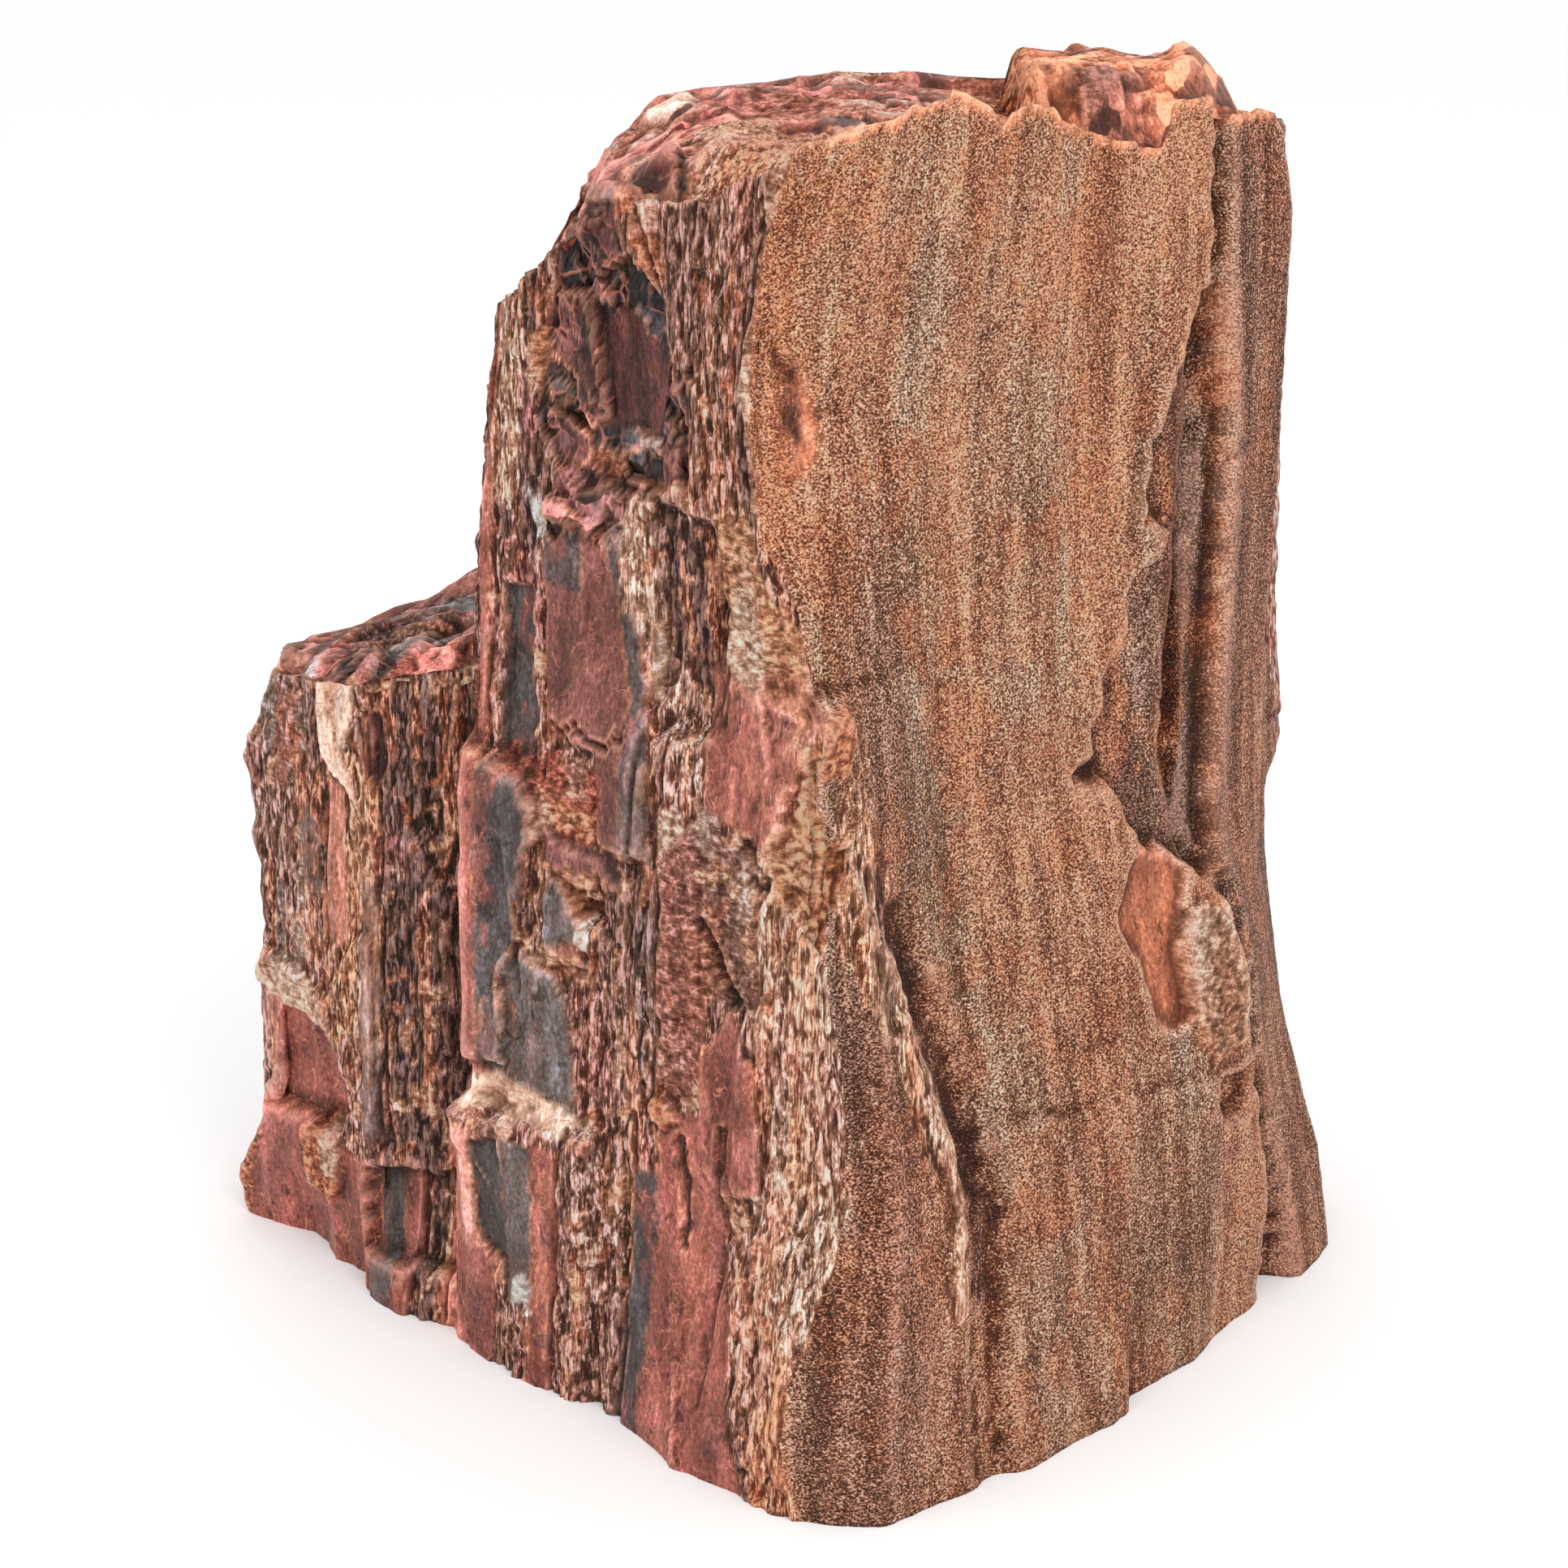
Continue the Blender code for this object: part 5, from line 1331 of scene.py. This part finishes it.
# %% [markdown]
# Where it is shattered, jasper shows small tilted faces. A Voronoi texture gives each cell a fixed
# random vector, and the height of a point is that vector times the way from the cell's middle,
# which makes one plane per cell. A little noise bends the cells, so their borders aren't ruled.

# %% Jasper: small tilted faces


def vector_sums(tree, operation, first, second):
    """One Vector Math node."""
    node = tree.nodes.new('ShaderNodeVectorMath')
    node.operation = operation
    attach(tree, node.inputs[0], first)
    attach(tree, node.inputs[1], second)
    return node


stretch = jasper_group.nodes.new('ShaderNodeMapping')
stretch.inputs['Scale'].default_value = (120.0, 120.0, 105.0)
sway = jasper_group.nodes.new('ShaderNodeTexNoise')
sway.inputs['Scale'].default_value = 90.0
sway.inputs['Detail'].default_value = 2.0
jasper_group.links.new(start.outputs[0], sway.inputs['Vector'])
shift = vector_sums(jasper_group, 'SCALE', sway.outputs['Color'], (0.0, 0.0, 0.0))
shift.inputs['Scale'].default_value = 0.006
moved = vector_sums(jasper_group, 'ADD', start.outputs[0], shift.outputs['Vector']).outputs['Vector']
jasper_group.links.new(moved, stretch.inputs['Vector'])
cells = jasper_group.nodes.new('ShaderNodeTexVoronoi')
cells.inputs['Scale'].default_value = 1.0
jasper_group.links.new(stretch.outputs['Vector'], cells.inputs['Vector'])
borders = jasper_group.nodes.new('ShaderNodeTexVoronoi')
borders.feature = 'DISTANCE_TO_EDGE'
borders.inputs['Scale'].default_value = 1.0
jasper_group.links.new(stretch.outputs['Vector'], borders.inputs['Vector'])
tilt = vector_sums(jasper_group, 'SUBTRACT', cells.outputs['Color'], (0.5, 0.5, 0.5))
away = vector_sums(jasper_group, 'SUBTRACT', stretch.outputs['Vector'], cells.outputs['Position'])
plane = vector_sums(jasper_group, 'DOT_PRODUCT', tilt.outputs['Vector'], away.outputs['Vector'])
own = jasper_group.nodes.new('ShaderNodeSeparateColor')
jasper_group.links.new(cells.outputs['Color'], own.inputs[0])
jasper_group.links.new(plane.outputs['Value'], end.inputs['Face height'])
jasper_group.links.new(signed(jasper_group, own.outputs[1], 2.0), end.inputs['Face shade'])
face_edge = spread(jasper_group, borders.outputs['Distance'], 0.0, 0.06, 1.0, 0.0)
face_edge = sums(jasper_group, 'MULTIPLY', face_edge, spread(jasper_group, clouds, 0.44, 0.6))
jasper_group.links.new(face_edge, end.inputs['Face edge'])
print('pattern groups:', [g.name for g in bpy.data.node_groups])

# %% [markdown]
# The stone has one material, so that all of it can be shown or changed together. It reads the
# painted colour, the shares, the painted highlight on edges, the painted shade in hollows and how
# shattered the jasper is, and adds the four patterns by their shares. The share of skin needs no
# channel of its own: it is what fibre, jasper and crumble leave of one.

# %% The material: what it reads, and the sum of its patterns
material = bpy.data.materials.new('petrified stone')
material.use_nodes = True
tree = material.node_tree
shader = tree.nodes['Principled BSDF']


def read_attribute(name):
    """The three channels of a colour attribute, and the colour itself."""
    node = tree.nodes.new('ShaderNodeAttribute')
    node.attribute_name = name
    split = tree.nodes.new('ShaderNodeSeparateColor')
    tree.links.new(node.outputs['Color'], split.inputs[0])
    return node.outputs['Color'], split.outputs[0], split.outputs[1], split.outputs[2]


def use_group(group):
    """Places a pattern group and gives it the object's own coordinates."""
    node = tree.nodes.new('ShaderNodeGroup')
    node.node_tree = group
    tree.links.new(coordinates.outputs['Object'], node.inputs['Vector'])
    return node


coordinates = tree.nodes.new('ShaderNodeTexCoord')
tint_colour, tint_red, tint_green, _ = read_attribute('tint')
_, fibre_share, jasper_share, crumb_share = read_attribute('kinds')
# The painted highlight on edges, the painted shade in hollows, and the shattered share.
_, edge_share, hollow_shade_share, shattered_share = read_attribute('edge_highlight_hollow_shade_breaks')
others = sums(tree, 'ADD', fibre_share, sums(tree, 'ADD', jasper_share, crumb_share))
skin_share = sums(tree, 'SUBTRACT', 1.0, others)
patterns = [(use_group(fibre_group), fibre_share), (use_group(jasper_group), jasper_share),
            (use_group(crumb_group), crumb_share), (use_group(skin_group), skin_share)]
shade_total = 0.0
height_total = 0.0
for node, share in patterns:
    shade_total = sums(tree, 'ADD', shade_total, sums(tree, 'MULTIPLY', node.outputs['Shade'], share))
    height_total = sums(tree, 'ADD', height_total, sums(tree, 'MULTIPLY', node.outputs['Height'], share))

jasper = patterns[1][0]
broken_amount = sums(tree, 'MULTIPLY', jasper_share, shattered_share)
face_height = sums(tree, 'MULTIPLY', jasper.outputs['Face height'],
                   sums(tree, 'MULTIPLY', broken_amount, 3.2))
face_shade = sums(tree, 'MULTIPLY', jasper.outputs['Face shade'], broken_amount)
height_total = sums(tree, 'ADD', height_total, face_height)
shade_total = sums(tree, 'ADD', shade_total, face_shade)
print('patterns added:', [node.node_tree.name for node, _ in patterns])

# %% [markdown]
# A shade below nought darkens the painted colour and one above it lightens it. It acts as a power
# of ten, with less swing in red than in blue, so that dark places turn rust red and not grey. A
# painted highlight lightens edges and a painted shade darkens hollows, and pale colours swing less
# than dark ones.

# %% The material: from shade to colour
CHANNEL_SWINGS = (0.52, 0.64, 0.77)
# Painted highlight on edges and painted shade in hollows go into the shade.
shade_total = sums(tree, 'ADD', shade_total, sums(tree, 'MULTIPLY', edge_share, 0.65))
shade_total = sums(tree, 'SUBTRACT', shade_total, sums(tree, 'MULTIPLY', hollow_shade_share, 1.2))
calm = sums(tree, 'SUBTRACT', 1.14, tint_green)
shade_total = spread(tree, sums(tree, 'MULTIPLY', shade_total, calm), -1.4, 1.1, -1.4, 1.1)

# Hardly brighter than full red, or the light parts would turn green
red_power = sums(tree, 'LOGARITHM', sums(tree, 'MAXIMUM', tint_red, 0.01), 10.0)
brightest = sums(tree, 'DIVIDE', red_power, -CHANNEL_SWINGS[0])
shade_total = sums(tree, 'MINIMUM', shade_total, sums(tree, 'ADD', brightest, 0.32))

mix = tree.nodes.new('ShaderNodeCombineColor')
for channel, swing in enumerate(CHANNEL_SWINGS):
    power = sums(tree, 'POWER', 10.0, sums(tree, 'MULTIPLY', shade_total, swing))
    tree.links.new(power, mix.inputs[channel])
shaded = blend_colours(tree, 1.0, tint_colour, mix.outputs[0], 'MULTIPLY')
print('channel swings:', CHANNEL_SWINGS)

# %% [markdown]
# Veins and the borders of small faces are a pinkish tan, laid over the shaded colour. Veins show
# most on smooth red jasper and least on dark or shattered stone. Edges get a pale painted highlight
# last.

# %% The material: veins and pale edges
VEIN_COLOUR = (206, 128, 104)
# Colour of the pale painted highlight on edges.
PALE_EDGE_AND_HIGHLIGHT_COLOUR = (228, 166, 140)
vein_share = sums(tree, 'MULTIPLY', jasper.outputs['Veins'], sums(tree, 'MULTIPLY', jasper_share, 0.75))
vein_share = sums(tree, 'MULTIPLY', vein_share, spread(tree, tint_red, 0.08, 0.22))
vein_share = sums(tree, 'MULTIPLY', vein_share, spread(tree, shattered_share, 0.2, 0.8, 1.0, 0.15))
border_share = sums(tree, 'MULTIPLY', jasper.outputs['Face edge'],
                    sums(tree, 'MULTIPLY', broken_amount, 0.8))
vein_share = sums(tree, 'MAXIMUM', vein_share, border_share)
veined = blend_colours(tree, vein_share, shaded, (*linear(VEIN_COLOUR), 1.0))
# Edges get the pale painted highlight, partly a pale rim of their own.
pale_edge_and_highlight_mix = sums(tree, 'MULTIPLY', edge_share, 0.33)
pale = blend_colours(tree, pale_edge_and_highlight_mix, veined, (*linear(PALE_EDGE_AND_HIGHLIGHT_COLOUR), 1.0))
pale.node.clamp_result = True
tree.links.new(pale, shader.inputs['Base Color'])
print('base colour linked:', shader.inputs['Base Color'].is_linked)

# %% [markdown]
# Jasper is the smoothest of the four kinds, half matt like a broken pebble, and the others are
# rough. The bump is for what is finer than the mesh. Then the stone is given its material, is
# attached to the root body, and stands in for the plain part, which is hidden.

# %% The material: gloss and bump, and the ties to the plain part
rough = sums(tree, 'SUBTRACT', 0.8, sums(tree, 'MULTIPLY', jasper_share, 0.4))
rough = sums(tree, 'SUBTRACT', rough, sums(tree, 'MULTIPLY', shade_total, 0.06))
tree.links.new(rough, shader.inputs['Roughness'])
shader.inputs['Specular IOR Level'].default_value = 0.3
bump = tree.nodes.new('ShaderNodeBump')
bump.inputs['Strength'].default_value = 1.0
bump.inputs['Distance'].default_value = 4.0 * MM
tree.links.new(height_total, bump.inputs['Height'])
tree.links.new(bump.outputs['Normal'], shader.inputs['Normal'])
stone_mesh.materials.append(material)
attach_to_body(stone, "root")
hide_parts("petrified_wood")
print('material with', len(tree.nodes), 'nodes')

# %% [markdown]
# The stage is a pale floor that runs past the picture on every side, a white sky for even light,
# and two large soft lamps, one from the upper right and one from the left, for a little shape. A
# single hard lamp would hide the colours of the stone in its shadows.

# %% Floor, sky and lamps
FLOOR_HALF = 6.0
floor_corners = [(-FLOOR_HALF, -FLOOR_HALF, 0), (FLOOR_HALF, -FLOOR_HALF, 0),
                 (FLOOR_HALF, FLOOR_HALF, 0), (-FLOOR_HALF, FLOOR_HALF, 0)]
floor_mesh = bpy.data.meshes.new('floor')
floor_mesh.from_pydata(floor_corners, [], [(0, 1, 2, 3)])
floor = bpy.data.objects.new('floor', floor_mesh)
bpy.context.scene.collection.objects.link(floor)
floor_material = bpy.data.materials.new('pale floor')
floor_material.use_nodes = True
floor_shader = floor_material.node_tree.nodes['Principled BSDF']
floor_shader.inputs['Base Color'].default_value = (0.95, 0.95, 0.95, 1.0)
floor_shader.inputs['Roughness'].default_value = 0.9
floor_shader.inputs['Specular IOR Level'].default_value = 0.1
floor_mesh.materials.append(floor_material)

sky = bpy.data.worlds.new('white sky')
sky.use_nodes = True
sky.node_tree.nodes['Background'].inputs['Color'].default_value = (1.0, 1.0, 1.0, 1.0)
sky.node_tree.nodes['Background'].inputs['Strength'].default_value = 1.02
bpy.context.scene.world = sky


def soft_lamp(name, stand, size, power):
    """A square lamp that faces the middle of the stone."""
    data = bpy.data.lights.new(name, 'AREA')
    data.energy = power
    data.size = size
    lamp = bpy.data.objects.new(name, data)
    away = np.array(stand) - np.array((0.0, 0.0, 0.2))
    tilt_down = math.atan2(math.hypot(away[0], away[1]), away[2])
    turn = math.atan2(away[0], -away[1])
    lamp.location = stand
    lamp.rotation_euler = (tilt_down, 0.0, turn)
    bpy.context.scene.collection.objects.link(lamp)
    return lamp


soft_lamp('upper right lamp', (0.9, -1.3, 1.7), 1.2, 16.0)
soft_lamp('left lamp', (-1.5, -0.9, 1.3), 1.4, 8.0)
bpy.context.scene.view_settings.view_transform = 'Standard'
print('stage set')

# %% [markdown]
# The camera stands where the photographer stood: a little above the stone, looking down on it at
# about 21 degrees, close enough for the near corner to swell.

# %% Camera
FOCAL_LENGTH = 67.08
PITCH_DOWN = 21.3
camera_data = bpy.data.cameras.new('camera')
camera_data.lens = FOCAL_LENGTH
camera = bpy.data.objects.new('camera', camera_data)
camera.location = (0.0005, -0.8702, 0.527)
camera.rotation_euler = (math.radians(90.0 - PITCH_DOWN), 0.0, 0.0)
bpy.context.scene.collection.objects.link(camera)
bpy.context.scene.camera = camera
print('camera at', tuple(round(v, 4) for v in camera.location))
